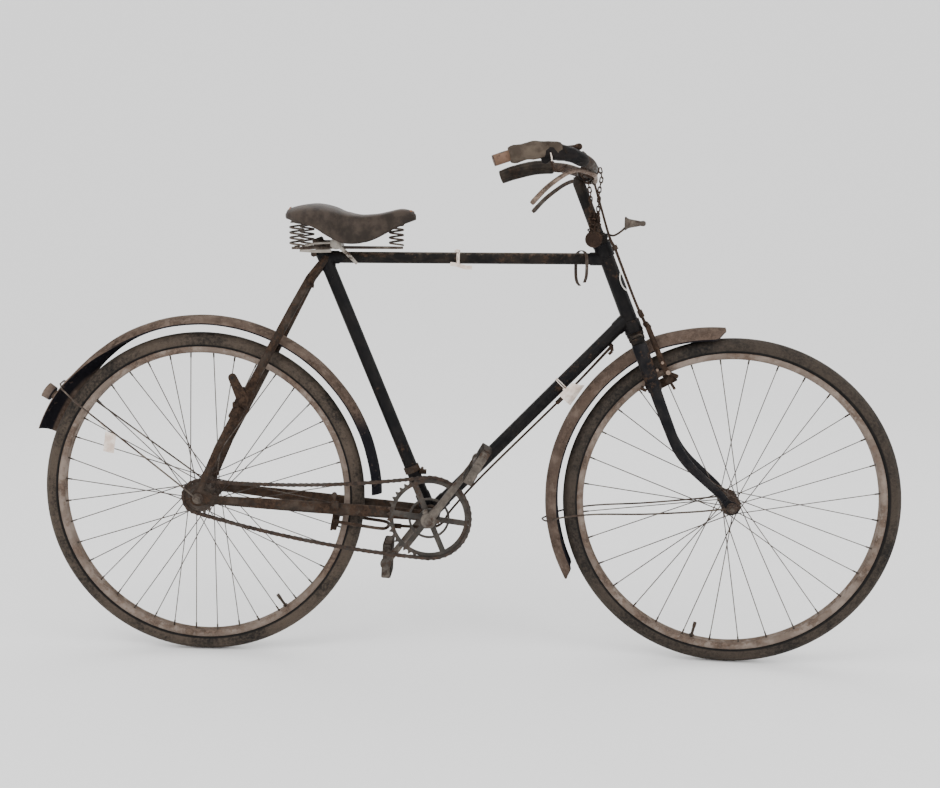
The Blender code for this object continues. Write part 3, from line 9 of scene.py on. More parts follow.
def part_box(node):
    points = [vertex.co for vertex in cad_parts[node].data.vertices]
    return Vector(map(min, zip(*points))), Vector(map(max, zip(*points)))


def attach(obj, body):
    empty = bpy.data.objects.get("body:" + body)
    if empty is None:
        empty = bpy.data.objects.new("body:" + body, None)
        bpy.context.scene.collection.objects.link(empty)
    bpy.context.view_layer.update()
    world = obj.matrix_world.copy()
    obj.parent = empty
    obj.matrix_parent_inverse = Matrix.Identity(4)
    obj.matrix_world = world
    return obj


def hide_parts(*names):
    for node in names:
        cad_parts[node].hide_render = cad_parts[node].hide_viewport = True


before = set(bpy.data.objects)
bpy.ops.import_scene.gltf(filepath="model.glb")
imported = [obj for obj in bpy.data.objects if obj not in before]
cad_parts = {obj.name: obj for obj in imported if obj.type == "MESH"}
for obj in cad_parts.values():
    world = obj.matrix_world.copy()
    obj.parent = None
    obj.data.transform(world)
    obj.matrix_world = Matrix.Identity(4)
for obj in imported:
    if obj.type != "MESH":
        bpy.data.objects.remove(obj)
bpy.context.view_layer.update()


# Studio
# A pale floor that sweeps up behind the bicycle and large soft lamps, seen from the right-hand
# side at about saddle height, as the bicycle was photographed.

FLOOR_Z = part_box("rear_tyre")[0][2]
SKY_STRENGTH = 1.46


def shown(name, data):
    """An object in the picture, made of its data."""
    made = bpy.data.objects.new(name, data)
    bpy.context.collection.objects.link(made)
    return made


camera = shown("camera", bpy.data.cameras.new("camera"))
camera.data.lens = 47.9
camera.data.shift_x = 0.0503
camera.data.shift_y = -0.0249
camera.data.clip_end = 200
CAMERA_PLACE = (0.387, -2.6737, -0.0273)
towards = Vector((-0.0621, 0.9904, -0.1233)).normalized()
upwards = Vector((-0.0122, 0.1228, 0.9924))
sideways = towards.cross(upwards).normalized()
upwards = sideways.cross(towards)
camera.matrix_world = Matrix.Translation(CAMERA_PLACE) @ Matrix(
    (sideways, upwards, -towards)).transposed().to_4x4()
bpy.context.scene.camera = camera

world = bpy.data.worlds.new("studio")
bpy.context.scene.world = world
world.use_nodes = True
world.node_tree.nodes["Background"].inputs["Color"].default_value = (1, 1, 1, 1)
world.node_tree.nodes["Background"].inputs["Strength"].default_value = SKY_STRENGTH

SWEEP_START, SWEEP_R, SWEEP_HALF_WIDTH, SWEEP_STEPS = 3.5, 4.0, 60, 40
floor_line = [(-60, FLOOR_Z)]
for step in range(SWEEP_STEPS + 1):
    turn = math.pi / 2 * step / SWEEP_STEPS
    floor_line.append((SWEEP_START + SWEEP_R * math.sin(turn), FLOOR_Z + SWEEP_R * (1 - math.cos(turn))))
floor_line.append((SWEEP_START + SWEEP_R, FLOOR_Z + 30))
floor_points = [(x, y, z) for y, z in floor_line for x in (-SWEEP_HALF_WIDTH, SWEEP_HALF_WIDTH)]
floor_mesh = bpy.data.meshes.new("floor")
floor_mesh.from_pydata(floor_points, [], [(2 * k, 2 * k + 1, 2 * k + 3, 2 * k + 2)
                                          for k in range(len(floor_line) - 1)])
floor_mesh.shade_smooth()
floor = shown("floor", floor_mesh)
floor_finish = bpy.data.materials.new("pale_floor")
floor_finish.use_nodes = True
floor_finish.node_tree.nodes["Principled BSDF"].inputs["Base Color"].default_value = (0.94, 0.94, 0.94, 1)
floor_finish.node_tree.nodes["Principled BSDF"].inputs["Roughness"].default_value = 1.0
floor_finish.node_tree.nodes["Principled BSDF"].inputs["Specular IOR Level"].default_value = 0.0
floor_mesh.materials.append(floor_finish)

LAMPS_AIM = Vector((0.3, 0, -0.4))
for name, place, size, power in (("key_lamp", (-1.6, -2.6, 2.6), 2.2, 62),
                                 ("side_lamp", (2.8, -2.2, 1.4), 1.8, 30),
                                 ("back_lamp", (0.2, 2.8, 2.2), 2.4, 20)):
    lamp = shown(name, bpy.data.lights.new(name, "AREA"))
    lamp.data.size = size
    lamp.data.energy = power
    lamp.location = place
    lamp.rotation_euler = (LAMPS_AIM - Vector(place)).to_track_quat("-Z", "Y").to_euler()


# Frame tubes
# Mild steel tubes brazed into pressed lugs, stove-enamelled nearly black. The enamel has worn
# through to brown rust along the tops and round the joints, and dust lies on it.

SADDLE_TOP = Vector((0.262, 0, 0.992))      # the frame's own zero is on the floor below the rear axle
HEAD_X, HEAD_Z, HEAD_SLOPE = 0.9135, 0.767, 0.395
BRACKET_X, BRACKET_Z, SEAT_SLOPE = 0.4992, 0.3182, 0.412
TOP_TUBE_Z, TOP_TUBE_R, DOWN_TUBE_R, SEAT_TUBE_R = 0.8745, 0.0122, 0.014, 0.0143
DOWN_TUBE_TOP_Z = 0.752
STEER_REST = math.radians(-3.9)             # the fork stands turned a little to the left
X_AXIS, Y_AXIS, Z_AXIS = Vector((1, 0, 0)), Vector((0, 1, 0)), Vector((0, 0, 1))


def mm(*rows):
    """A table of lengths that is written in millimetres, in metres."""
    return [tuple(value / 1000 for value in row) for row in rows]


class Shade:
    """A socket of a material. Arithmetic on it adds the Math nodes that work it out."""

    def __init__(self, finish, socket):
        self.finish = finish
        self.socket = socket

    def _math(self, operation, first, second, clamp=False):
        settings = {"operation": operation, "use_clamp": clamp}
        return self.finish.node("ShaderNodeMath", settings, {0: first, 1: second})

    def __add__(self, other):
        return self._math("ADD", self, other)

    def __sub__(self, other):
        return self._math("SUBTRACT", self, other)

    def __rsub__(self, other):
        return self._math("SUBTRACT", other, self)

    def __mul__(self, other):
        return self._math("MULTIPLY", self, other)

    __radd__ = __add__
    __rmul__ = __mul__

    def power(self, exponent):
        return self._math("POWER", self, exponent)

    def most(self, other):
        return self._math("MAXIMUM", self, other)

    def within(self, low, high):
        """0 below low, 1 above high, and a smooth step between."""
        return self.finish.node("ShaderNodeMapRange", {"interpolation_type": "SMOOTHSTEP"},
                                {0: self, 1: low, 2: high})


class Finish:
    """A Principled material, with one method that adds any other node."""

    def __init__(self, name):
        self.material = bpy.data.materials.new(name)
        self.material.use_nodes = True
        self.tree = self.material.node_tree
        self.shader = self.tree.nodes["Principled BSDF"]
        self.place = self.node("ShaderNodeTexCoord", {}, {}, "Object")
        self.normal = self.node("ShaderNodeNewGeometry", {}, {}, "Normal")

    def node(self, kind, settings, inputs, output=0):
        made = self.tree.nodes.new(kind)
        for key, value in settings.items():
            setattr(made, key, value)
        for key, value in inputs.items():
            self.join(value, made.inputs[key])
        return Shade(self, made.outputs[output])

    def join(self, value, socket):
        if isinstance(value, Shade):
            self.tree.links.new(value.socket, socket)
        elif isinstance(value, tuple) and len(value) == 3 and socket.type == "RGBA":
            socket.default_value = (*value, 1)
        else:
            socket.default_value = value

    def wear(self, **inputs):
        for key, value in inputs.items():
            self.join(value, self.shader.inputs[key.replace("_", " ")])

    def speckle(self, scale, detail=4.0, roughness=0.6, stretch=(1, 1, 1), shift=0.0):
        """Noise from 0 to 1, with its features about 1 / scale metres across."""
        place = self.node("ShaderNodeMapping", {}, {"Vector": self.place, "Scale": stretch,
                                                    "Location": (shift, shift * 0.7, -shift)})
        return self.node("ShaderNodeTexNoise", {}, {"Vector": place, "Scale": scale, "Detail": detail,
                                                    "Roughness": roughness})

    def mix(self, share, low, high):
        return self.node("ShaderNodeMix", {"data_type": "RGBA"}, {0: share, 6: low, 7: high}, 2)

    def facing_up(self):
        return self.node("ShaderNodeSeparateXYZ", {}, {0: self.normal}, 2)

    def bumped(self, height, distance):
        return self.node("ShaderNodeBump", {}, {"Height": height, "Distance": distance})


def weathered(name, base, second, rust, dust, metal=0.0, gloss=0.5, rust_tones=None, pits=0.0004, seed=0.0):
    """Old metal: two tones of base finish, rust where the noise is above a level, and dust on top."""
    finish = Finish(name)
    dark, middle, bright = rust_tones or ((0.014, 0.009, 0.007), (0.045, 0.028, 0.019),
                                          (0.105, 0.064, 0.042))
    broad = finish.speckle(14, 6, 0.65, shift=seed)
    fine = finish.speckle(95, 8, 0.72, shift=seed + 3)
    grain = finish.speckle(900, 5, 0.7, shift=seed + 7)
    upward = finish.facing_up()
    level = broad * 0.6 + fine * 0.4 + grain * 0.12 + upward * 0.035
    rusty = level.within(0.66 - rust * 0.30, 0.74 - rust * 0.30)
    rust_tone = finish.mix(fine.within(0.38, 0.62), dark, middle)
    rust_tone = finish.mix(grain.within(0.52, 0.75) * 0.75, rust_tone, bright)
    paint = finish.mix(finish.speckle(30, 5, 0.6, shift=seed + 11).within(0.40, 0.66), base, second)
    paint = finish.mix(grain.within(0.62, 0.78) * 0.5, paint, middle)
    dusty = (upward * 0.5 + 0.5 + (fine - 0.5) * 1.1).within(0.75, 1.25) * dust
    colour = finish.mix(dusty, finish.mix(rusty, paint, rust_tone), (0.125, 0.098, 0.076))
    roughness = (rusty * (0.86 - gloss) + gloss + grain * 0.12 + dusty * 0.2)
    height = rusty * (0.35 + fine * 0.4) + grain * (0.25 + rusty * 0.5)
    finish.wear(Base_Color=colour, Roughness=roughness, Normal=finish.bumped(height, pits))
    finish.wear(Specular_IOR_Level=0.4 if metal else 0.1)
    if metal:
        finish.wear(Metallic=(1 - rusty) * (1 - dusty) * metal)
    return finish


enamel = weathered("black_enamel", (0.0032, 0.0030, 0.0036), (0.0085, 0.0072, 0.0070),
                   rust=0.16, dust=0.16, metal=0.0, gloss=0.36)
brown_frame = weathered("rusted_enamel", (0.022, 0.0165, 0.013), (0.052, 0.038, 0.029),
                        rust=0.48, dust=0.42, metal=0.0, gloss=0.6, seed=2.0)
top_enamel = weathered("scuffed_enamel", (0.0055, 0.0048, 0.0045), (0.020, 0.0150, 0.0115),
                       rust=0.24, dust=0.95, metal=0.0, gloss=0.45, seed=5.0)


def on_head(z):
    return Vector((HEAD_X - HEAD_SLOPE * (z - HEAD_Z), 0, z))


def on_seat(z):
    return Vector((BRACKET_X - SEAT_SLOPE * (z - BRACKET_Z), 0, z))


def skin(bm, loops, closed=False):
    """Joins a row of equal loops of points, with caps unless the row closes on itself."""
    rows = [[bm.verts.new(point) for point in loop] for loop in loops]
    for loop, after in zip(rows, rows[1:] + (rows[:1] if closed else [])):
        for i in range(len(loop)):
            j = (i + 1) % len(loop)
            bm.faces.new((loop[i], loop[j], after[j], after[i]))
    if not closed:
        bm.faces.new(rows[0])
        bm.faces.new(rows[-1])
    return bm


def eased(a, b, c, d, t):
    """The Catmull-Rom value a share t of the way from b to c."""
    return (b * 2 + (c - a) * t + (a * 2 - b * 5 + c * 4 - d) * t**2 + (b * 3 - a - c * 3 + d) * t**3) / 2


def curve_through(points, steps=6):
    points = [Vector(p) for p in points]
    ends = [points[0] * 2 - points[1], *points, points[-1] * 2 - points[-2]]
    return [*(eased(*four, step / steps) for four in zip(ends, ends[1:], ends[2:], ends[3:])
              for step in range(steps)), points[-1]]


def rod(path, radii, sides=24, hint=Y_AXIS, bm=None, closed=False):
    """A round or, with (across, high) radii, oval rod along a path."""
    bm = bm or bmesh.new()
    path = [Vector(p) for p in path]
    radii = radii if isinstance(radii, list) else [radii] * len(path)
    count = len(path)
    side = Vector(hint)
    loops = []
    for i, (point, radius) in enumerate(zip(path, radii)):
        before = path[i - 1] if i or closed else path[0]
        after = path[(i + 1) % count] if i + 1 < count or closed else path[-1]
        along = (after - before).normalized()
        side = (side - along * side.dot(along)).normalized()
        up = side.cross(along)
        across, high = radius if isinstance(radius, tuple) else (radius, radius)
        turns = [math.tau * (k + 0.5) / sides for k in range(sides)]
        loops.append([point + side * across * math.cos(a) + up * high * math.sin(a) for a in turns])
    return skin(bm, loops, closed)


def crosswise(at, low, high, radius, sides, bm):
    """A pin, bolt or hexagon nut that lies along Y, from low to high beside a point."""
    return rod([at + Y_AXIS * low, at + Y_AXIS * high], radius, sides, X_AXIS, bm)


def on_head_axis(stops, sides=32, bm=None, bevel=0.0006):
    """A turned piece on the head axis, with its end edges softened. Stops are (z, radius)."""
    (low, low_r), (high, high_r) = stops[0], stops[-1]
    stops = [(low, low_r - bevel), (low + bevel, low_r), *stops[1:-1],
             (high - bevel, high_r), (high, high_r - bevel)]
    return rod([on_head(z) for z, _ in stops], [radius for _, radius in stops], sides, bm=bm)


def around(centre, radius, angle, y=0.0):
    return Vector((centre[0] + radius * math.cos(angle), y, centre[2] + radius * math.sin(angle)))


def turned(profile, steps, centre, bm=None):
    """A ring about an axis along Y, from an outline of (radius, y)."""
    loops = [[around(centre, radius, math.tau * k / steps, y) for k in range(steps)]
             for radius, y in profile]
    return skin(bm or bmesh.new(), loops, closed=True)


def shade_edges(mesh, angle=35):
    mesh.shade_smooth()
    mesh.set_sharp_from_angle(angle=math.radians(angle))


STEERED = Quaternion(Vector((-HEAD_SLOPE, 0, 1)).normalized(), STEER_REST).to_matrix().to_4x4()
STEERED = Matrix.Translation(on_head(HEAD_Z)) @ STEERED @ Matrix.Translation(-on_head(HEAD_Z))
TURNS_WITH_FORK = ("steering", "front_wheel")


def piece(name, bm, body, finish, nodes=(), angle=35):
    """Puts a finished mesh in its place, riding on its body and standing for its solids."""
    if isinstance(bm, bmesh.types.BMesh):
        bmesh.ops.recalc_face_normals(bm, faces=bm.faces[:])
        mesh = bpy.data.meshes.new(name)
        bm.to_mesh(mesh)
        bm.free()
        shade_edges(mesh, angle)
        mesh.materials.append(finish.material)
    else:
        mesh = bm
    if body in TURNS_WITH_FORK:
        mesh.transform(STEERED)
    mesh.transform(Matrix.Translation(-SADDLE_TOP))
    made = shown(name, mesh)
    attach(made, body)
    if nodes:
        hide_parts(*([nodes] if isinstance(nodes, str) else nodes))
    return made


LUG_WALL = 0.0019


def lug_points(bm, start, along, radius, length, sides=24):
    """A thin sleeve round a tube, cut to a point on each side, as on pressed lugs."""
    up = along.cross(Y_AXIS).normalized()
    loops = []
    for rise, wall in ((0, 0), (0, LUG_WALL), (1, LUG_WALL), (1, 0)):
        ring = []
        for k in range(sides):
            turn = math.tau * k / sides
            reach = length * (0.62 + 0.38 * abs(math.cos(turn)) ** 3) * rise
            ring.append(start + along * reach + Y_AXIS * (radius + wall) * math.cos(turn)
                        + up * (radius + wall) * math.sin(turn))
        loops.append(ring)
    skin(bm, loops, closed=True)


head_dir = (on_head(1.0) - on_head(0.0)).normalized()
seat_dir = (on_seat(1.0) - on_seat(0.0)).normalized()
top_start = Vector((on_seat(TOP_TUBE_Z).x, 0, TOP_TUBE_Z))
down_end = on_head(DOWN_TUBE_TOP_Z)
bracket = Vector((BRACKET_X, 0, BRACKET_Z))
down_dir = (down_end - bracket).normalized()

head = on_head_axis(mm((722, 19), (744, 19), (744.5, 16.2), (766, 16.2), (850, 16), (878, 16),
                       (878.5, 18.8), (905, 18.8)))
rod([on_head(0.7205), on_head(0.7245)], 0.0198, 32, bm=head)
rod([on_head(0.9020), on_head(0.9055)], 0.0196, 32, bm=head)
for centre_z, tube_dir, tube_r in ((TOP_TUBE_Z, -X_AXIS, TOP_TUBE_R),
                                   (DOWN_TUBE_TOP_Z, -down_dir, DOWN_TUBE_R)):
    lug_points(head, on_head(centre_z) + tube_dir * 0.010, tube_dir, tube_r, 0.040)
piece("head_tube_and_lugs", head, "frame", enamel, "head_tube")

top = rod([top_start + X_AXIS * 0.006, Vector((0.5, 0, TOP_TUBE_Z)), on_head(TOP_TUBE_Z)], TOP_TUBE_R, 32)
piece("top_tube_enamelled", top, "frame", top_enamel, "top_tube")

down = rod([bracket + down_dir * 0.012, bracket + down_dir * 0.3, down_end], DOWN_TUBE_R, 32)
lug_points(down, bracket + down_dir * 0.018, down_dir, DOWN_TUBE_R, 0.045)
piece("down_tube_enamelled", down, "frame", enamel, "down_tube")

seat = rod([on_seat(0.332), on_seat(0.60), on_seat(0.888)], SEAT_TUBE_R, 32)
lug_points(seat, on_seat(0.338), seat_dir, SEAT_TUBE_R, 0.040)
lug_points(seat, on_seat(0.889), -seat_dir, SEAT_TUBE_R, 0.062)
lug_points(seat, top_start + X_AXIS * 0.004, X_AXIS, TOP_TUBE_R, 0.042)
rod([on_seat(0.8775), on_seat(0.8885)], [0.0165, 0.0160], 32, bm=seat)
piece("seat_tube_and_lugs", seat, "frame", enamel)

clip = rod([on_seat(0.4095), on_seat(0.4225)], 0.0172, 28)
rod([on_seat(0.4100) + X_AXIS * 0.014, on_seat(0.4100) + X_AXIS * 0.029], (0.006, 0.0055), 12, bm=clip)
crosswise(on_seat(0.416) + X_AXIS * 0.022, -0.013, 0.010, 0.0036, 6, clip)
rod([on_seat(0.356) + Vector((-0.012, -0.0175, 0)), on_seat(0.366) - Y_AXIS * 0.0175], 0.0038, 8,
    bm=clip)
piece("seat_tube_clip", clip, "frame", brown_frame, "seat_tube")


# Bottom bracket, stays and rear ends
# A brazed shell with a screwed cup each side, and tapered oval stays that end in forged drop
# plates. This corner has lost nearly all its enamel and is brown with rust and old grease.

shell = turned(mm((12.5, -39), (18, -39), (18.8, -38.2), (18.8, -35.5), (22.2, -35.2), (22.8, -34.5),
                  (22.8, -30), (22.2, -29.5), (22.2, 29.5), (22.8, 30), (22.8, 34.5), (22.2, 35.2),
                  (18.8, 35.5), (18.8, 38.2), (18, 39), (12.5, 39)), 48, bracket)
rod([bracket + Vector((0.0, 0.004, 0.021)), bracket + Vector((0.0, 0.004, 0.0268))], 0.0036, 10, X_AXIS,
    bm=shell)
piece("bracket_shell", shell, "frame", brown_frame, "bottom_bracket_shell")

AXLE_Z, WHEELBASE = 0.3555, 1.143
REAR_AXLE = Vector((0, 0, AXLE_Z))
FRONT_AXLE = Vector((WHEELBASE, 0, AXLE_Z))


def washer(centre, radius, y, other_y, sides, bm=None, bevel=0.0004):
    """A disc or nut about Y, between two places on Y, with softened rims."""
    low, high = sorted((y, other_y))
    rims = ((low, radius - bevel), (low + bevel, radius), (high - bevel, radius), (high, radius - bevel))
    return skin(bm or bmesh.new(), [[around(centre, r, math.tau * (k + 0.5) / sides, at)
                                     for k in range(sides)] for at, r in rims])


def plate(outline, y, other_y, bm):
    """A flat plate across Y from an outline of (x, z)."""
    return skin(bm, [[Vector((x, at, z)) for x, z in outline] for at in sorted((y, other_y))])


def other_way(points, side):
    """The same points on the left (1) or on the right (-1)."""
    return [Vector((x, y * side, z)) for x, y, z in points]


def mirrored(half, side=-1):
    """Points from an outer end to the middle, and on to the other outer end."""
    return [*other_way(half, side), *reversed(other_way(half[:-1], -side))]


for name, side in (("right", -1), ("left", 1)):
    route = mm((486, 27, 318.5), (455, 28, 321.5), (400, 31, 325.5), (345, 34.5, 329.5),
               (250, 43.5, 336.5), (150, 52, 344), (45, 62, 352), (16, 62, 354.5))
    sizes = mm((9, 12), (8.5, 12.5), (7.8, 13), (7.8, 13), (7.8, 12.8), (7.5, 12), (4.8, 10), (2.6, 10.5))
    stay = rod(other_way(route, side), sizes)
    outline = mm((30, 345), (32, 362), (18, 372), (4, 376), (-9, 372), (-16.5, 362), (-16.8, 350),
                 (-10, 340.5), (2, 338.2), (16, 341))
    plate(outline, side * 0.0597, side * 0.0643, stay)
    bmesh.ops.remove_doubles(stay, verts=stay.verts[:], dist=0.00001)
    rod([(-0.014, side * 0.062, 0.3545), (-0.0235, side * 0.062, 0.3535)], 0.0021, 10, bm=stay)
    piece("chain_stay_and_end_" + name, stay, "frame", brown_frame, "chain_stay_" + name)

    foot = on_seat(0.870)
    route = [(0.002, 0.0625, 0.369), (0.045, 0.060, 0.466), (0.10, 0.054, 0.569), (0.155, 0.045, 0.672),
             (0.205, 0.031, 0.766), (0.240, 0.017, 0.830), (foot.x, 0.0128, foot.z),
             (foot.x + 0.003, 0.0125, 0.878)]
    sizes = [(0.0040, 0.0082), 0.0082, 0.0092, 0.0094, 0.0094, 0.0092, 0.0086, (0.0040, 0.006)]
    stay = rod(other_way(route, side), sizes)
    piece("seat_stay_rusted_" + name, stay, "frame", brown_frame, "seat_stay_" + name)


# Axle ends
# Turned steel axles with hexagon nuts, thick washers and a few threads left over, all brown. The
# nuts clamp each wheel between the ends of the frame or of the fork.

steel = weathered("dull_steel", (0.070, 0.055, 0.044), (0.12, 0.098, 0.078),
                  rust=0.50, dust=0.25, metal=0.6, gloss=0.45, seed=8.0)


def axle_ends(name, centre, body, inner_y, node):
    bm = bmesh.new()
    for side in (-1, 1):
        for start, end, radius, sides in ((0.0, 0.0012, 0.0098, 24), (0.0014, 0.0078, 0.0092, 6),
                                          (0.0078, 0.0088, 0.0078, 24)):
            washer(centre, radius, side * (inner_y + start), side * (inner_y + end), sides, bm)
        crosswise(centre, side * 0.03, side * (inner_y + 0.0128), 0.0046, 20, bm)
        for thread in range(4):
            y = inner_y + 0.0092 + thread * 0.0009
            washer(centre, 0.0050, side * y, side * (y + 0.0004), 20, bm, 0.00015)
    crosswise(centre, -0.03, 0.03, 0.0044, 16, bm)
    piece(name, bm, body, steel, node)


axle_ends("rear_axle_and_nuts", REAR_AXLE, "frame", 0.0672, "rear_axle")
axle_ends("front_axle_and_nuts", FRONT_AXLE, "steering", 0.0552, "front_axle")


# Tyres
# Black rubber beaded-edge tyres, perished and dusty. The tread is a row of shallow ribs, with a
# moulded line on each wall, and both show cracks across the wall.


def tyre_finish(name, centre, dust):
    """Cracked black rubber, dusty brown on the tread and walls; beside the rim it takes no dust and is
    darkened to near black as painted shade.
    """
    rubber = Finish(name)
    smears = rubber.speckle(9, 6, 0.6)
    powder = rubber.speckle(160, 6, 0.7)
    cracks = rubber.node("ShaderNodeTexVoronoi", {"feature": "DISTANCE_TO_EDGE"},
                         {"Vector": rubber.place, "Scale": 420.0})
    cracked = 1 - cracks.within(0.0, 0.12)
    from_hub = rubber.node("ShaderNodeVectorMath", {"operation": "SUBTRACT"}, {0: rubber.place, 1: centre})
    from_hub = rubber.node("ShaderNodeVectorMath", {"operation": "MULTIPLY"}, {0: from_hub, 1: (1, 0, 1)})
    from_hub = rubber.node("ShaderNodeVectorMath", {"operation": "LENGTH"}, {0: from_hub}, "Value")
    # Outside this radius the rubber takes dust; inside it lies the band of painted shade beside the rim.
    clear_of_rim_shade = from_hub.within(0.3275, 0.3305)
    dusted = (smears * 0.65 + powder * 0.45).within(0.38, 0.66) * clear_of_rim_shade
    tone = rubber.mix(powder.within(0.35, 0.7), (0.0060, 0.0056, 0.0055), (0.019, 0.0165, 0.0145))
    tone = rubber.mix(dusted * dust, tone, (0.086, 0.065, 0.049))
    # painted shade: the inner wall beside the rim is darkened to near black, as in the shaded groove
    # between tyre and rim
    tone = rubber.mix((1 - clear_of_rim_shade) * 0.75, tone, (0.004, 0.0036, 0.0035))
    rubber.wear(Base_Color=rubber.mix(cracked * 0.35, tone, (0.005, 0.004, 0.004)),
                Roughness=powder * 0.25 + 0.62, Specular_IOR_Level=0.15,
                Normal=rubber.bumped(powder * 0.5 - cracked * 0.4, 0.0005))
    return rubber


TYRE_MIDDLE_R, TYRE_SECTION_R = 0.3365, 0.0183


def tyre(name, centre, body, finish):
    """The section is round, with five raised ribs on the tread and one moulded line a side."""
    profile = []
    for k in range(64):
        angle = math.tau * k / 64
        lean = abs((angle + math.pi) % math.tau - math.pi)
        radius = TYRE_SECTION_R
        if lean < 0.62:
            radius += 0.0006 * (0.5 + 0.5 * math.cos(lean * 44)) * (1 - lean / 0.8)
        if 1.06 < lean < 1.18:
            radius += 0.0007
        if 2.05 < lean < 2.5:
            radius += 0.0004
        profile.append((TYRE_MIDDLE_R + radius * math.cos(angle), radius * math.sin(angle)))
    piece(name, turned(profile, 192, centre), body, finish, name.replace("_rubber", ""), 60)


tyre("rear_tyre_rubber", REAR_AXLE, "rear_wheel", tyre_finish("rear_rubber", REAR_AXLE - SADDLE_TOP, 0.85))
tyre("front_tyre_rubber", FRONT_AXLE, "front_wheel",
     tyre_finish("front_rubber", STEERED @ FRONT_AXLE - SADDLE_TOP, 0.50))


# Rims, spokes and hubs
# Rolled steel rims with a hollow edge each side, laced with crossed spokes, each in a brass
# nipple. The plating has gone: rims are a dusty pinkish brown, spokes thin and dark.

rim_finish = weathered("rusted_rim", (0.140, 0.108, 0.088), (0.210, 0.168, 0.140),
                       rust=0.42, dust=0.45, metal=0.0, gloss=0.66,
                       rust_tones=((0.050, 0.035, 0.027), (0.130, 0.093, 0.072), (0.22, 0.165, 0.13)),
                       pits=0.0003, seed=12.0)
spoke_finish = weathered("dark_spoke_wire", (0.050, 0.041, 0.034), (0.090, 0.073, 0.060),
                         rust=0.45, dust=0.15, metal=0.3, gloss=0.5, seed=15.0)
hub_finish = weathered("greasy_hub_steel", (0.036, 0.028, 0.022), (0.070, 0.053, 0.042),
                       rust=0.50, dust=0.30, metal=0.3, gloss=0.5, seed=18.0)


def new_tree(name, inputs):
    """A Geometry Nodes tree with named inputs. Returns it with its two end nodes."""
    tree = bpy.data.node_groups.new(name, "GeometryNodeTree")
    for label, kind in inputs.items():
        tree.interface.new_socket(label, in_out="INPUT", socket_type="NodeSocket" + kind)
    tree.interface.new_socket("Geometry", in_out="OUTPUT", socket_type="NodeSocketGeometry")
    return tree, tree.nodes.new("NodeGroupInput"), tree.nodes.new("NodeGroupOutput")


def finished(tree, given, taken, geometry):
    """Ends a tree with real geometry in its material."""
    real = tree.nodes.new("GeometryNodeRealizeInstances")
    coat = tree.nodes.new("GeometryNodeSetMaterial")
    tree.links.new(geometry, real.inputs[0])
    tree.links.new(real.outputs[0], coat.inputs["Geometry"])
    tree.links.new(given.outputs["Finish"], coat.inputs["Material"])
    tree.links.new(coat.outputs[0], taken.inputs[0])


def applied(source):
    """The plain mesh that an object comes to. The object itself goes."""
    evaluated = source.evaluated_get(bpy.context.evaluated_depsgraph_get())
    plain = bpy.data.meshes.new_from_object(evaluated)
    bpy.data.objects.remove(source)
    return plain


def grown(name, mesh, tree, **values):
    """The plain mesh that a tree makes of a mesh and its named values."""
    source = shown(name + "_source", mesh)
    modifier = source.modifiers.new("growth", "NODES")
    modifier.node_group = tree
    for item in tree.interface.items_tree:
        if item.in_out == "INPUT" and item.name in values:
            value = values[item.name]
            modifier[item.identifier] = value.material if isinstance(value, Finish) else value
    plain = applied(source)
    shade_edges(plain, 40)
    return plain


def mesh_of(bm, name):
    bmesh.ops.recalc_face_normals(bm, faces=bm.faces[:])
    mesh = bpy.data.meshes.new(name)
    bm.to_mesh(mesh)
    bm.free()
    return mesh


wheel_tree, given, taken = new_tree("round_a_wheel", {"Pattern": "Geometry", "Count": "Int",
                                                      "Centre": "Vector", "Finish": "Material"})
nodes = wheel_tree.nodes
ring_points = nodes.new("GeometryNodePoints")
number = nodes.new("GeometryNodeInputIndex")
share = nodes.new("ShaderNodeMath")
share.operation = "DIVIDE"
turn = nodes.new("ShaderNodeMath")
turn.operation = "MULTIPLY"
turn.inputs[1].default_value = math.tau
spin = nodes.new("ShaderNodeCombineXYZ")
fan = nodes.new("GeometryNodeInstanceOnPoints")
for start, end in ((given.outputs["Count"], ring_points.inputs["Count"]),
                   (given.outputs["Centre"], ring_points.inputs["Position"]),
                   (number.outputs[0], share.inputs[0]), (given.outputs["Count"], share.inputs[1]),
                   (share.outputs[0], turn.inputs[0]), (turn.outputs[0], spin.inputs["Y"]),
                   (ring_points.outputs[0], fan.inputs["Points"]),
                   (given.outputs["Pattern"], fan.inputs["Instance"]),
                   (spin.outputs[0], fan.inputs["Rotation"])):
    wheel_tree.links.new(start, end)
finished(wheel_tree, given, taken, fan.outputs[0])


SPOKE_R, SPOKE_REACH = 0.00112, 0.3125


def spoke_group(count, crossings, flange_r, right_y, left_y):
    """Four neighbouring spokes and their nipples about the wheel's centre."""
    bm = bmesh.new()
    for index in range(4):
        rim_angle = math.tau * (index + 0.5) / count
        side = 1 if index % 2 else -1
        lean = 1 if index // 2 % 2 else -1
        hub_angle = rim_angle + lean * crossings * 2 * math.tau / count
        flange_y = left_y if side == 1 else -right_y
        origin = Vector((0, 0, 0))
        head = around(origin, flange_r - 0.003, hub_angle - lean * 0.05, flange_y + lean * 0.0030)
        bend = around(origin, flange_r - 0.0025, hub_angle, flange_y + lean * 0.0026)
        end = around(origin, SPOKE_REACH, rim_angle, side * 0.003 + lean * 0.001)
        along = (end - bend).normalized()
        rod([head, bend, bend.lerp(end, 0.5), end], SPOKE_R, 6, bm=bm)
        rod([end - along * 0.0125, end - along * 0.012, end - along * 0.001, end + along * 0.0015],
            [0.0013, 0.0018, 0.0019, 0.0026], 8, bm=bm)
    return bm


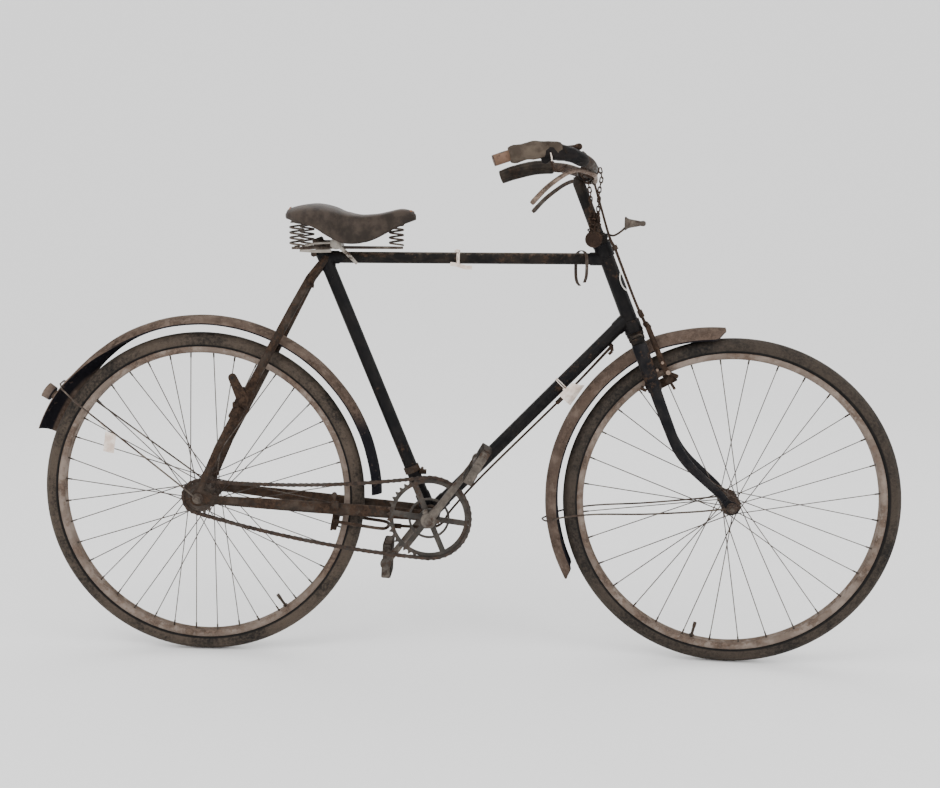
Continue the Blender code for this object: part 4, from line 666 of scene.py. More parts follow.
def wheel(label, centre, body, count, crossings, barrel_r, flange_r, right_y, left_y, right_end,
          left_end, valve):
    rim = turned(mm((311.5, -7.8), (311.2, -10), (312.5, -14), (315.5, -16.3), (319.5, -16.7),
                    (323.5, -16), (325.3, -14.2), (323.5, -12.8), (319, -11), (316, -8), (316, 8),
                    (319, 11), (323.5, 12.8), (325.3, 14.2), (323.5, 16), (319.5, 16.7), (315.5, 16.3),
                    (312.5, 14), (311.2, 10), (311.5, 7.8), (312.8, 5), (312.8, -5)), 192, centre)
    piece(label + "_rim", rim, body, rim_finish, label, 50)
    pattern = mesh_of(spoke_group(count, crossings, flange_r, right_y, left_y), label + "_pattern")
    laced = grown(label, pattern, wheel_tree, Count=count // 4, Centre=centre, Finish=spoke_finish)
    piece(label + "_spokes", laced, body, spoke_finish)
    half = 0.0016
    hub = turned([(0.0062, -right_end), (barrel_r * 0.86, -right_end),
                  (barrel_r * 0.92, -right_end + 0.001), (barrel_r * 1.02, -right_y - half - 0.002),
                  (flange_r - 0.001, -right_y - half), (flange_r, -right_y),
                  (flange_r - 0.001, -right_y + half), (barrel_r * 1.1, -right_y + half + 0.001),
                  (barrel_r * 0.92, -right_y + 0.009), (barrel_r * 0.86, 0.0),
                  (barrel_r * 0.92, left_y - 0.009), (barrel_r * 1.1, left_y - half - 0.001),
                  (flange_r - 0.001, left_y - half), (flange_r, left_y),
                  (flange_r - 0.001, left_y + half), (barrel_r * 1.02, left_y + half + 0.002),
                  (barrel_r * 0.92, left_end - 0.001), (barrel_r * 0.86, left_end), (0.0062, left_end)],
                 40, centre)
    rod([centre + Vector((0.006, 0.0, barrel_r * 0.8)),
         centre + Vector((0.006, 0.0, barrel_r + 0.004))], 0.0028, 10, X_AXIS, bm=hub)
    stem_out = Vector((math.cos(valve), 0, math.sin(valve)))
    for start, end, radius in mm((314, 288, 3.1), (309, 307, 5.5), (290, 279, 3.8)):
        rod([centre + stem_out * start, centre + stem_out * end], radius, 12, bm=hub)
    piece(label + "_hub_and_valve", hub, body, hub_finish)


wheel("rear_wheel", REAR_AXLE, "rear_wheel", count=40, crossings=4, barrel_r=0.0175, flange_r=0.029,
      right_y=0.026, left_y=0.034, right_end=0.0385, left_end=0.052, valve=math.radians(-55))
wheel("front_wheel", FRONT_AXLE, "front_wheel", count=32, crossings=3, barrel_r=0.011, flange_r=0.021,
      right_y=0.032, left_y=0.032, right_end=0.043, left_end=0.043, valve=math.radians(-103))


# Chainring, cranks and sprocket
# A pressed steel chainring with six arms and an inner band, on square-shouldered steel cranks
# held by cotter pins. The plating is worn grey and brightest where shoes have rubbed it.

ring_steel = weathered("dirty_ring_steel", (0.024, 0.020, 0.0165), (0.058, 0.048, 0.039),
                       rust=0.35, dust=0.15, metal=0.25, gloss=0.5, seed=21.0)
worn_plate = weathered("worn_plating", (0.066, 0.054, 0.044), (0.125, 0.105, 0.086),
                       rust=0.35, dust=0.15, metal=0.35, gloss=0.44, seed=22.0)
PITCH = 0.0127
CHAIN_Y = -0.047
RING_TEETH, SPROCKET_TEETH = 44, 18
CRANK_LENGTH = 0.17
CRANK_TURN = math.radians(52.4)


def pitch_radius(teeth):
    return PITCH / (2 * math.sin(math.pi / teeth))


def toothed_outline(teeth, start):
    """Round hollows for the rollers, with a blunt point between each pair."""
    radius = pitch_radius(teeth)
    outline = []
    for tooth in range(teeth):
        for share, rise in ((0.0, 0.0021), (0.07, 0.0019), (0.19, -0.0008), (0.32, -0.0035), (0.5, -0.0041),
                            (0.68, -0.0035), (0.81, -0.0008), (0.93, 0.0019)):
            angle = start + math.tau * (tooth + share) / teeth
            outline.append((radius + rise, angle))
    return outline


def flat_sheet(name, outlines, half_thickness, bevel):
    """A flat plate whose later outlines are holes in the first, lying across Y."""
    curve = bpy.data.curves.new(name, "CURVE")
    curve.dimensions = "2D"
    curve.fill_mode = "BOTH"
    curve.extrude = half_thickness - bevel
    curve.bevel_depth = bevel
    curve.bevel_resolution = 1
    curve.offset = -bevel
    for outline in outlines:
        spline = curve.splines.new("POLY")
        spline.points.add(len(outline) - 1)
        for point, (radius, angle) in zip(spline.points, outline):
            point.co = (radius * math.cos(angle), radius * math.sin(angle), 0, 1)
        spline.use_cyclic_u = True
    bm = bmesh.new()
    bm.from_mesh(applied(shown(name, curve)))
    bmesh.ops.remove_doubles(bm, verts=bm.verts[:], dist=0.000005)
    bmesh.ops.rotate(bm, verts=bm.verts[:], matrix=Matrix.Rotation(math.pi / 2, 3, "X"))
    return bm


def window(inner_r, outer_r, middle, half_gap, steps=14):
    """A hole between two arms whose sides run straight beside them."""
    outline = []
    for k in range(steps):
        half_turn = math.pi / 6 - math.asin(half_gap / outer_r)
        outline.append((outer_r, middle - half_turn + 2 * half_turn * k / (steps - 1)))
    for k in range(steps // 2):
        half_turn = math.pi / 6 - math.asin(half_gap / inner_r)
        outline.append((inner_r, middle + half_turn - 2 * half_turn * k / (steps // 2 - 1)))
    return outline


ring_outlines = [toothed_outline(RING_TEETH, CRANK_TURN)]
for arm in range(6):
    middle = math.radians(-7.4 + 30) + arm * math.tau / 6
    ring_outlines.append(window(0.0445, 0.0765, middle, 0.0062))
    ring_outlines.append(window(0.0215, 0.0395, middle, 0.0060))
ring = flat_sheet("chainring_sheet", ring_outlines, 0.0015, 0.00035)
bmesh.ops.translate(ring, verts=ring.verts[:], vec=bracket + Y_AXIS * CHAIN_Y)
washer(bracket, 0.0212, -0.0525, -0.0437, 40, ring)
washer(bracket, 0.0170, -0.0548, -0.0520, 36, ring)
piece("chainring_pressed", ring, "cranks", ring_steel, "chainring", 30)

crank_dir = Vector((math.cos(CRANK_TURN), 0, math.sin(CRANK_TURN)))


def crank_arm(name, side):
    along = crank_dir * -side
    across = Vector((-along.z, 0, along.x))
    loops = []
    for reach, width, thick in mm((14, 10.5, 6.6), (30, 8.6, 6.2), (60, 7.8, 5.6), (110, 7.2, 5.2),
                                  (150, 8.2, 5.6), (160, 10, 6.2)):
        middle = bracket + along * reach + Y_AXIS * side * (0.0675 + reach * 0.004)
        loop = []
        for k in range(16):
            turn = math.tau * (k + 0.5) / 16
            square = 1 / max(abs(math.cos(turn)), abs(math.sin(turn))) ** 0.55
            loop.append(middle + across * width * math.cos(turn) * square
                        + Y_AXIS * thick * math.sin(turn) * square)
        loops.append(loop)
    bm = skin(bmesh.new(), loops)
    eye = bracket + along * CRANK_LENGTH
    faces = (side * 0.0605, side * 0.0738)
    washer(bracket, 0.0165, *faces, 40, bm, 0.0012)
    washer(eye, 0.0124, *faces, 36, bm, 0.0010)
    washer(bracket, 0.0078, side * 0.058, side * 0.0762, 28, bm, 0.0008)
    washer(eye, 0.0062, side * 0.070, side * 0.0785, 28, bm, 0.0005)
    cotter = bracket + along * 0.0098 + Y_AXIS * side * 0.067
    rod([cotter - across * 0.0215, cotter + across * 0.021], 0.0042, 14, Y_AXIS, bm=bm)
    rod([cotter + across * 0.0145, cotter + across * 0.0190], 0.0066, 6, Y_AXIS, bm=bm)
    crosswise(eye, side * 0.07, side * 0.158, 0.0049, 20, bm)
    if side > 0:
        crosswise(bracket, -0.058, 0.060, 0.0079, 24, bm)
    piece(name + "_forged", bm, "cranks", worn_plate, name, 32)


crank_arm("crank_right", -1)
crank_arm("crank_left", 1)

gear = flat_sheet("sprocket_sheet", [toothed_outline(SPROCKET_TEETH, math.radians(8)), [
    (0.015, math.tau * k / 24) for k in range(24)]], 0.0014, 0.0003)
bmesh.ops.translate(gear, verts=gear.verts[:], vec=REAR_AXLE + Y_AXIS * CHAIN_Y)
turned(mm((7.6, -52), (22.5, -52), (25, -51.2), (25.8, -50), (25.8, -43), (25, -42), (7.6, -42)), 44,
       REAR_AXLE, gear)
piece("freewheel_sprocket", gear, "sprocket", hub_finish, "rear_sprocket", 30)


# Chain
# Half-inch roller chain: outer and inner links in turn, riveted over rollers. It is dry, brown
# and slack, and hangs in a long bow between the chainring and the sprocket.

chain_finish = weathered("dry_rusty_chain", (0.024, 0.018, 0.014), (0.050, 0.037, 0.029),
                         rust=0.55, dust=0.2, metal=0.2, gloss=0.55, seed=24.0)
CHAIN_SAG = 0.013


def hung_run(start_centre, start_r, end_centre, end_r, upper):
    """A slack run that leaves one circle and meets the next along their tangents."""
    start_angle = end_angle = math.pi / 2 if upper else -math.pi / 2
    for _ in range(8):
        start = around(start_centre, start_r, start_angle)
        end = around(end_centre, end_r, end_angle)
        chord = end - start
        heading = math.atan2(chord.z, chord.x)
        slack = 4 * CHAIN_SAG / chord.length * (1 if chord.x > 0 else -1)
        start_angle = heading - slack - math.pi / 2
        end_angle = heading + slack - math.pi / 2
    points = []
    for step in range(101):
        share = step / 100
        points.append(start + chord * share - Z_AXIS * CHAIN_SAG * 4 * share * (1 - share))
    return points, start_angle, end_angle


def wrapped(centre, radius, start, end):
    turn = (end - start) % math.tau
    return [around(centre, radius, start + turn * k / 60) for k in range(1, 60)]


ring_r, sprocket_r = pitch_radius(RING_TEETH), pitch_radius(SPROCKET_TEETH)
top_run, ring_leave, sprocket_meet = hung_run(bracket, ring_r, REAR_AXLE, sprocket_r, True)
low_run, sprocket_leave, ring_meet = hung_run(REAR_AXLE, sprocket_r, bracket, ring_r, False)
dense = [*top_run, *wrapped(REAR_AXLE, sprocket_r, sprocket_meet, sprocket_leave), *low_run,
         *wrapped(bracket, ring_r, ring_meet, ring_leave)]


def strung_along(path, pitch):
    """An even number of (place, heading), spaced evenly round a closed path."""
    sides = list(zip(path, path[1:] + path[:1]))
    total = sum((b - a).length for a, b in sides)
    count = 2 * round(total / pitch / 2)
    places, walked = [], 0.0
    for a, b in sides:
        length = (b - a).length
        while len(places) < count and len(places) * total / count <= walked + length:
            share = (len(places) * total / count - walked) / length
            places.append((a.lerp(b, share), math.atan2((b - a).z, (b - a).x)))
        walked += length
    return places


pins = [place for place, _ in strung_along(dense, PITCH)]


def link(plate_y, plate_half, pin_reach, roller):
    """Two waisted plates along X, with pins through them or rollers between."""
    bm = bmesh.new()
    outline = []
    for k in range(20):
        turn = math.tau * k / 20
        centre = PITCH / 2 if math.cos(turn) > 0 else -PITCH / 2
        waist = 0.0029 if abs(math.cos(turn)) < 0.2 else 0.0040
        x = centre + 0.0040 * math.cos(turn) if abs(math.cos(turn)) > 0.2 else centre * 0.2
        outline.append((x, waist * math.sin(turn)))
    for side in (-1, 1):
        plate(outline, side * plate_y - plate_half, side * plate_y + plate_half, bm)
    for x in (-PITCH / 2, PITCH / 2):
        at = Vector((x, 0, 0))
        if roller:
            crosswise(at, -0.0022, 0.0022, 0.0037, 12, bm)
        else:
            crosswise(at, -pin_reach, pin_reach, 0.0016, 8, bm)
    return mesh_of(bm, "link")


row_tree, given, taken = new_tree("along_a_row", {"Points": "Geometry", "Item": "Object",
                                                  "Finish": "Material"})
nodes = row_tree.nodes
item = nodes.new("GeometryNodeObjectInfo")
spin = nodes.new("GeometryNodeInputNamedAttribute")
spin.data_type = "FLOAT_VECTOR"
spin.inputs["Name"].default_value = "turn"
row = nodes.new("GeometryNodeInstanceOnPoints")
for start, end in ((given.outputs["Item"], item.inputs["Object"]),
                   (given.outputs["Points"], row.inputs["Points"]),
                   (item.outputs["Geometry"], row.inputs["Instance"]),
                   (spin.outputs[0], row.inputs["Rotation"])):
    row_tree.links.new(start, end)
finished(row_tree, given, taken, row.outputs[0])


def repeated(name, item_mesh, spots, finish):
    """A copy of one small mesh at each (place, Euler turn)."""
    points = bpy.data.meshes.new(name + "_points")
    points.from_pydata([place for place, _ in spots], [], [])
    turns = points.attributes.new("turn", "FLOAT_VECTOR", "POINT")
    turns.data.foreach_set("vector", [value for _, turn in spots for value in turn])
    item_object = shown(name + "_item", item_mesh)
    plain = grown(name, points, row_tree, Item=item_object, Finish=finish)
    bpy.data.objects.remove(item_object)
    return plain


for name, item_mesh, first in (("chain_outer_links", link(0.0042, 0.0005, 0.0052, False), 0),
                               ("chain_inner_links", link(0.0030, 0.0005, 0.0, True), 1)):
    spots = []
    for index in range(first, len(pins), 2):
        a, b = pins[index], pins[(index + 1) % len(pins)]
        heading = math.atan2((b - a).z, (b - a).x)
        spots.append(((a + b) / 2 + Y_AXIS * CHAIN_Y, (0, -heading, 0)))
    links = repeated(name, item_mesh, spots, chain_finish)
    piece(name, links, "frame", chain_finish, "chain" if first == 0 else ())


# Pedals
# Two ribbed rubber blocks between pressed end plates, on a tube round the spindle. The rubber
# has gone hard and grey, and the outer nut is polished by use.

pedal_rubber = weathered("hard_grey_rubber", (0.024, 0.020, 0.017), (0.050, 0.042, 0.035),
                         rust=0.20, dust=0.25, metal=0.0, gloss=0.75, seed=27.0)


def rounded_block(size, angle, centre, bm, bevel=0.002):
    """A block with softened edges, turned about Y."""
    made = bmesh.new()
    bmesh.ops.create_cube(made, size=1, matrix=Matrix.Diagonal((*size, 1)))
    bmesh.ops.bevel(made, geom=made.edges[:], offset=bevel, segments=2, affect="EDGES")
    made.transform(Matrix.Translation(centre) @ Matrix.Rotation(angle, 4, "Y"))
    scratch = bpy.data.meshes.new("block")
    made.to_mesh(scratch)
    made.free()
    bm.from_mesh(scratch)
    bpy.data.meshes.remove(scratch)


def pedal(name, side, body, angle):
    centre = bracket + crank_dir * CRANK_LENGTH * -side
    turn = Matrix.Rotation(-angle, 4, "Y")
    middle = side * 0.124
    rubbers = bmesh.new()
    for way in (-1, 1):
        offset = turn @ X_AXIS * way * 0.0275
        rounded_block((0.0245, 0.074, 0.0185), -angle, centre + offset + Y_AXIS * middle, rubbers)
        for face in (-1, 1):
            for rib in range(9):
                rib_y = middle + (rib - 4) * 0.0082
                at = centre + offset + (turn @ Z_AXIS) * face * 0.0095 + Y_AXIS * rib_y
                rounded_block((0.0245, 0.0052, 0.0028), -angle, at, rubbers, 0.0008)
    piece(name + "_rubbers", rubbers, body, pedal_rubber, name)
    cage = bmesh.new()
    for y in (0.0835, 0.1645):
        rounded_block((0.078, 0.0024, 0.0185), -angle, centre + Y_AXIS * side * y, cage, 0.0009)
        for way in (-1, 1):
            at = centre + turn @ X_AXIS * way * 0.0275 + Y_AXIS * side * y
            crosswise(at, -0.0035, 0.0035, 0.0034, 6, cage)
    crosswise(centre, side * 0.0826, side * 0.166, 0.0088, 28, cage)
    washer(centre, 0.0088, side * 0.165, side * 0.1705, 28, cage, 0.0012)
    piece(name + "_cage", cage, body, worn_plate)


pedal("pedal_right", -1, "right_pedal", math.radians(59.4))
pedal("pedal_left", 1, "left_pedal", math.radians(87))


# Fork, crown and steering head
# A forged crown with tapered oval blades swept forward to the axle. The blades keep the most
# enamel of all, blue-black, with rust at the crown and at the ends.

fork_enamel = weathered("blue_black_enamel", (0.0042, 0.0042, 0.0056), (0.0125, 0.0110, 0.0112),
                        rust=0.26, dust=0.45, metal=0.0, gloss=0.38, seed=30.0)

crown = bmesh.new()
tilt = -math.atan(HEAD_SLOPE)
rounded_block((0.0296, 0.1225, 0.0158), tilt, on_head(0.7085), crown, 0.0035)
rounded_block((0.034, 0.052, 0.0168), tilt, on_head(0.7087), crown, 0.004)
on_head_axis(mm((712, 18.5), (719.5, 18.5), (719.7, 12), (906, 12)), bm=crown)
for y in (-0.050, 0.050):
    rod([on_head(0.7160) + Y_AXIS * y, on_head(0.7180) + Y_AXIS * y],
        [(0.0095, 0.0135), (0.007, 0.010)], 24, bm=crown)
nut_stops = mm((906.2, 18.2), (910, 18.2), (910.3, 15.8), (913, 15.8), (913.3, 18), (922.5, 18),
               (922.8, 15.2), (926, 14.6))
on_head_axis(nut_stops, 36, bm=crown)
piece("fork_crown_and_headset", crown, "steering", top_enamel, "fork_crown")

for name, side in (("right", -1), ("left", 1)):
    start = on_head(0.7010)
    route = [(start.x, 0.050, start.z), (start.x + 0.012, 0.0502, start.z - 0.030), (0.984, 0.0508, 0.583),
             (1.006, 0.051, 0.527), (1.026, 0.051, 0.480), (1.052, 0.051, 0.444), (1.088, 0.0505, 0.410),
             (1.118, 0.050, 0.383), (1.128, 0.050, 0.372)]
    path = curve_through([(x, y * side, z) for x, y, z in route], 4)
    sizes = []
    for index in range(len(path)):
        share = max(0.0, (index / (len(path) - 1) - 0.1) / 0.9)
        sizes.append((0.0095 - 0.0047 * share, 0.0135 - 0.0062 * share))
    sizes[-1] = (0.0030, 0.0066)
    blade = rod(path, sizes, 28)
    sleeve = mm((940, 700.5), (940.5, 699), (956, 657.5), (976.5, 603), (977, 601.5))
    rod([(x, side * 0.0504, z) for x, z in sleeve],
        mm((10.3, 14.6), (11.2, 15.6), (11, 15.4), (10.6, 14.8), (10, 13.8)), 28, bm=blade)
    rod([(0.9690, side * 0.0506, 0.6215), (0.9712, side * 0.0506, 0.6155), (0.9735, side * 0.0506, 0.6095)],
        mm((11.2, 15.8), (11.8, 16.6), (11.2, 15.8)), 28, bm=blade)
    outline = mm((1118, 379), (1126, 386), (1138, 371.5), (1150, 367.5), (1156.8, 358), (1154.8, 346),
                 (1144, 341.2), (1133, 344.5), (1129, 356), (1122, 367))
    plate(outline, side * 0.0477, side * 0.0523, bm=blade)
    piece("fork_blade_swept_" + name, blade, "steering", fork_enamel, "fork_blade_" + name)


# Stem and handlebar
# A plain quill stem with a split clamp, and a roadster bar that sweeps back to the hands. The bar
# has been knocked a little out of line and its plating is all but gone. The right grip is perished
# and torn and is bound with tarry tape, and the left one is fluted rubber.

bar_finish = weathered("sooty_bar_steel", (0.030, 0.024, 0.020), (0.075, 0.060, 0.048),
                       rust=0.62, dust=0.5, metal=0.35, gloss=0.5, seed=33.0)
BAR = Vector((0.822, 0, 1.0525))
BAR_TURN = Matrix.Rotation(math.radians(1.9), 3, "Z") @ Matrix.Rotation(math.radians(-3.5), 3, "X")


def knocked(points):
    return [BAR + BAR_TURN @ (Vector(p) - BAR) for p in points]


stem = on_head_axis(mm((926.3, 12.8), (930, 12.8), (930.3, 12.6), (1034, 12.6), (1040, 10.5)))
rod(knocked(mm((822, -20.5, 1052.5), (822, -19.5, 1052.5), (822, 19.5, 1052.5), (822, 20.5, 1052.5))),
    [0.0155, 0.0165, 0.0165, 0.0155], 32, X_AXIS, bm=stem)
rod([on_head(1.036), on_head(1.036) + head_dir * 0.012], 0.0072, 6, bm=stem)
clamp_bolt = BAR + Vector((0.0175, 0, -0.006))
crosswise(clamp_bolt, -0.016, 0.016, 0.0038, 12, stem)
for y in (-0.0165, 0.0125):
    crosswise(clamp_bolt, y, y + 0.004, 0.0062, 6, stem)
piece("stem_and_clamp", stem, "steering", top_enamel, "stem")

bar_route = mm((822, 24, 1052.5), (830, 60, 1053), (832, 115, 1056), (817, 172, 1066), (777, 211, 1080),
               (720, 228, 1082), (668, 234, 1071), (637.5, 238, 1060.5))
right_half = [BAR, *curve_through(other_way(bar_route, -1), 8)]
left_half = [BAR, *curve_through(other_way(bar_route, 1), 8)]
bar_path = knocked([*reversed(right_half), *left_half[1:-21]])
bar = rod(bar_path, 0.0110, 28, Z_AXIS)
piece("handlebar_swept", bar, "steering", bar_finish, "handlebar", 50)

rust_coat = weathered("flaking_rust", (0.030, 0.021, 0.016), (0.060, 0.043, 0.033),
                      rust=0.60, dust=0.3, metal=0.0, gloss=0.8, seed=42.0)
card = Finish("stained_card")
stains = card.speckle(60, 6, 0.6)
fibres = card.speckle(700, 4, 0.7, (0.3, 1, 1.4))
tone = card.mix(stains.within(0.4, 0.68), (0.80, 0.70, 0.62), (0.58, 0.45, 0.37))
card.wear(Base_Color=card.mix(fibres.within(0.6, 0.8) * 0.3, tone, (0.42, 0.33, 0.25)),
          Roughness=0.9, Normal=card.bumped(fibres + stains * 0.6, 0.0003))
grip_rubber = weathered("perished_grip", (0.050, 0.038, 0.029), (0.095, 0.074, 0.056),
                        rust=0.30, dust=0.35, metal=0.0, gloss=0.8,
                        rust_tones=((0.012, 0.008, 0.006), (0.038, 0.026, 0.019), (0.12, 0.085, 0.06)),
                        pits=0.0012, seed=36.0)
tarry_wrap = weathered("tarry_wrap", (0.0040, 0.0036, 0.0038), (0.013, 0.010, 0.009),
                       rust=0.24, dust=0.10, metal=0.0, gloss=0.48,
                       rust_tones=((0.010, 0.007, 0.006), (0.028, 0.019, 0.014), (0.085, 0.058, 0.040)),
                       pits=0.0014, seed=37.0)
fluted_rubber = weathered("fluted_grip", (0.014, 0.011, 0.009), (0.032, 0.025, 0.019),
                          rust=0.25, dust=0.25, metal=0.0, gloss=0.6,
                          rust_tones=((0.008, 0.006, 0.005), (0.030, 0.020, 0.015), (0.060, 0.042, 0.030)),
                          pits=0.0005, seed=38.0)


WHICH_LUMPS = 7         # picks the lumps of the perished rubber and of its tape
noise.seed_set(WHICH_LUMPS)


def lumpy(bm, coarse, fine):
    for vertex in bm.verts:
        large, small = noise.noise_vector(vertex.co * 95), noise.noise_vector(vertex.co * 300)
        vertex.co += large * coarse + small * fine


def flap(bm, corners, thickness=0.0022):
    """A torn shred hanging down, from its outline in one upright plane."""
    skin(bm, [[Vector(p) + Y_AXIS * lift for p in corners] for lift in (-thickness / 2, thickness / 2)])


tip_finish = weathered("tan_bar_end", (0.125, 0.074, 0.050), (0.17, 0.105, 0.074),
                       rust=0.15, dust=0.1, metal=0.0, gloss=0.5, seed=34.0)
tip = rod(knocked([right_half[48], right_half[49], right_half[56], right_half[57]]),
          [0.0112, 0.0113, 0.0113, 0.0108], 28, Z_AXIS)
piece("bare_bar_end", tip, "steering", tip_finish)

rubber_path = knocked(right_half[35:50])
sizes = [0.0168 + 0.0016 * noise.noise(Vector((index * 0.37, 2.0, 5.0)))
         for index in range(len(rubber_path))]
sizes[0], sizes[-1] = 0.0160, 0.0150
grip = rod(rubber_path, sizes, 36, Z_AXIS)
lumpy(grip, 0.0009, 0.0004)
flap(grip, mm((674, -243, 1082), (697, -240, 1088), (687, -242.5, 1075), (682, -243.5, 1070.5)))
piece("torn_grip", grip, "steering", grip_rubber, "grip_right", 50)

wrap_path = [p - Z_AXIS * 0.003 for p in knocked(right_half[26:40])]
sizes = []
for index in range(len(wrap_path)):
    share = index / (len(wrap_path) - 1)
    sizes.append((0.0128 + 0.0040 * share + 0.0018 * noise.noise(Vector((index * 0.5, 1.0, 3.0))),
                  0.0140 + 0.0045 * share + 0.0024 * noise.noise(Vector((index * 0.45, 6.0, 2.0)))))
sizes[0], sizes[-1] = (0.0118, 0.0118), (0.0150, 0.0160)
wrap = rod(wrap_path, sizes, 36, Z_AXIS)
lumpy(wrap, 0.0014, 0.0006)
flap(wrap, mm((730, -231, 1092), (768, -231, 1092), (758, -232, 1078), (746, -232, 1069),
              (739, -232, 1071.5)), 0.004)
rounded_block((0.012, 0.014, 0.018), 0, Vector((0.8130, -0.168, 1.080)), wrap, 0.003)
piece("tarry_wrap_and_shreds", wrap, "steering", tarry_wrap)

knob = rod(mm((786, -197, 1101), (800, -181, 1103.5), (804, -177, 1104)), [0.0042, 0.0036, 0.0055], 16)
bmesh.ops.create_uvsphere(knob, u_segments=20, v_segments=12, radius=0.0068,
                          matrix=Matrix.Translation((0.808, -0.1736, 1.1036)))
rod([(0.8120, -0.158, 1.0895), (0.8185, -0.152, 1.0840)], 0.0078, 6, bm=knob)
rod(curve_through(mm((756.6, -236, 1076), (757, -237.9, 1069), (761.5, -237.8, 1060.5),
                     (769.2, -234, 1055), (776.7, -225, 1058), (784, -210, 1066)), 6), 0.0022, 12, bm=knob)
piece("copper_loop_and_knob", knob, "steering", rust_coat)

cream = rod(mm((754.5, -238.5, 1090.5), (756.5, -239.2, 1083), (757.5, -239, 1074.5)),
            mm((3, 1.2), (3.6, 1.4), (2.2, 1.2)), 12)
piece("cream_shred", cream, "steering", card)

left_path = knocked(left_half[-22:])
fine_path = curve_through(left_path, 3)
sizes = [0.0146 + 0.0010 * math.sin(index / (len(fine_path) - 1) * math.pi)
         for index in range(len(fine_path))]
sizes[0], sizes[-1] = 0.0135, 0.0140
FLUTED_SIDES = 48
grip = rod(fine_path, sizes, FLUTED_SIDES, Z_AXIS)
for index, vertex in enumerate(grip.verts):
    row, k = divmod(index, FLUTED_SIDES)
    out = (vertex.co - fine_path[row]).normalized()
    vertex.co += out * 0.0005 * math.cos(math.tau * k / 4)
piece("fluted_grip", grip, "steering", fluted_rubber, "grip_left", 25)


# Brake levers and rods
# Bent steel levers pivot in brackets below the bar and pull thin rods down to the stirrups. The
# right lever still has bright, pitted plating; everything below it is rust.

bright_plate = weathered("pitted_plating", (0.23, 0.165, 0.125), (0.13, 0.088, 0.064),
                         rust=0.45, dust=0.10, metal=0.45, gloss=0.38,
                         rust_tones=((0.030, 0.019, 0.014), (0.110, 0.070, 0.050), (0.50, 0.43, 0.36)),
                         pits=0.0006, seed=39.0)

lever_route = mm((842, 28, 1034), (840, 75, 1040.5), (834, 122, 1042), (806, 165, 1048), (785, 190, 1043),
                 (760, 205, 1027), (737, 208, 1008), (711, 208, 980))
for name, side, finish in (("right", -1, bright_plate), ("left", 1, bar_finish)):
    path = knocked(curve_through(other_way(lever_route, side), 7))
    sizes = []
    for index in range(len(path)):
        share = index / (len(path) - 1)
        sizes.append((0.0043 + 0.0012 * share**3, 0.0043 - 0.0006 * share**3))
    sizes[-1] = (0.0040, 0.0026)
    lever = rod(path, sizes, 20, Z_AXIS)
    ends = knocked(other_way(mm((830.6, 68, 1053.3), (830.7, 69, 1053.4), (831.1, 83, 1054),
                                (831.2, 84, 1054.1)), side))
    piece("brake_lever_" + name + "_bent", lever, "steering", finish, "brake_lever_" + name)
    bracket_sleeve = rod(ends, [0.0148, 0.0155, 0.0155, 0.0148], 28, Z_AXIS)
    drop = knocked(other_way([(0.832, 0.076, 1.048), (0.8395, 0.076, 1.0385)], side))
    rod(drop, 0.0052, 16, bm=bracket_sleeve)
    piece("brake_lever_bracket_" + name, bracket_sleeve, "steering", rust_coat)


def brake_rod(route, radii, body, node, fittings):
    """A thin rod with its eyes, nuts and pins. Fittings are (start, end, radius, sides)."""
    path = curve_through(route)
    spread = []
    for index in range(len(path)):
        low, share = divmod(index / 6, 1)
        low = min(int(low), len(radii) - 1)
        high = min(low + 1, len(radii) - 1)
        spread.append(radii[low] + (radii[high] - radii[low]) * share)
    bm = rod(path, spread, 16)
    for start, end, radius, sides in fittings:
        rod([start, end], radius, sides, bm=bm)
    piece(node + "_long", bm, body, rust_coat, node)


front_rod = mm((842, -16, 1029), (853, -18, 992), (874, -24, 923), (886, -28, 900), (889, -28, 892),
               (930, -24, 790), (954.5, -10, 738.5))
nuts = [((0.8840, -0.027, 0.9040), (0.8885, -0.0283, 0.8955), 0.0058, 6),
        ((0.9400, -0.0205, 0.7680), (0.9470, -0.0165, 0.7545), 0.0056, 6)]
brake_rod(front_rod, [0.0025, 0.0025, 0.0027, 0.0036, 0.0030, 0.0028, 0.0034], "steering",
          "front_brake_rod", nuts)


def brake_blocks(centre, angle, bm):
    for side in (-1, 1):
        for reach, size, bevel in ((0.2975, (0.0115, 0.0072, 0.046), 0.0014),
                                   (0.2920, (0.0050, 0.0078, 0.050), 0.0008)):
            rounded_block(size, -angle, around(centre, reach, angle, side * 0.0155), bm, bevel)


STIRRUP_R = 0.0036
half = mm((958.5, 0, 734.5), (961.5, 22, 727), (969, 36.5, 708), (984, 38.5, 678), (998, 37, 648),
          (1000, 26, 630), (998, 16.5, 623.5))
stirrup = rod(curve_through(mirrored(half[::-1])), STIRRUP_R, 16, Z_AXIS)
brake_blocks(FRONT_AXLE, math.radians(119), stirrup)
rod([(0.9535, -0.012, 0.7405), (0.9625, 0.0, 0.7300)], 0.0062, 6, bm=stirrup)
flat_bar = mm((958.7, -25.5, 735), (974.2, -34.5, 697.4), (989.6, -42.5, 662), (1000, -44, 638.5))
for bend, after in zip(flat_bar, flat_bar[1:]):
    rod([bend, after], (0.0018, 0.0062), 12, bm=stirrup)
rounded_block((0.0300, 0.0120, 0.0075), 0.35, Vector((1.0100, -0.0330, 0.6360)), stirrup, 0.0012)
rounded_block((0.0150, 0.0150, 0.0170), 0.45, Vector((1.0050, -0.0330, 0.6240)), stirrup, 0.002)
rod([(1.0085, -0.033, 0.619), (1.0180, -0.033, 0.604)], 0.0030, 10, bm=stirrup)
rod(mm((956, -64, 605), (948, -56, 607.5), (950, -44, 609)), 0.0035, 10, Z_AXIS, bm=stirrup)
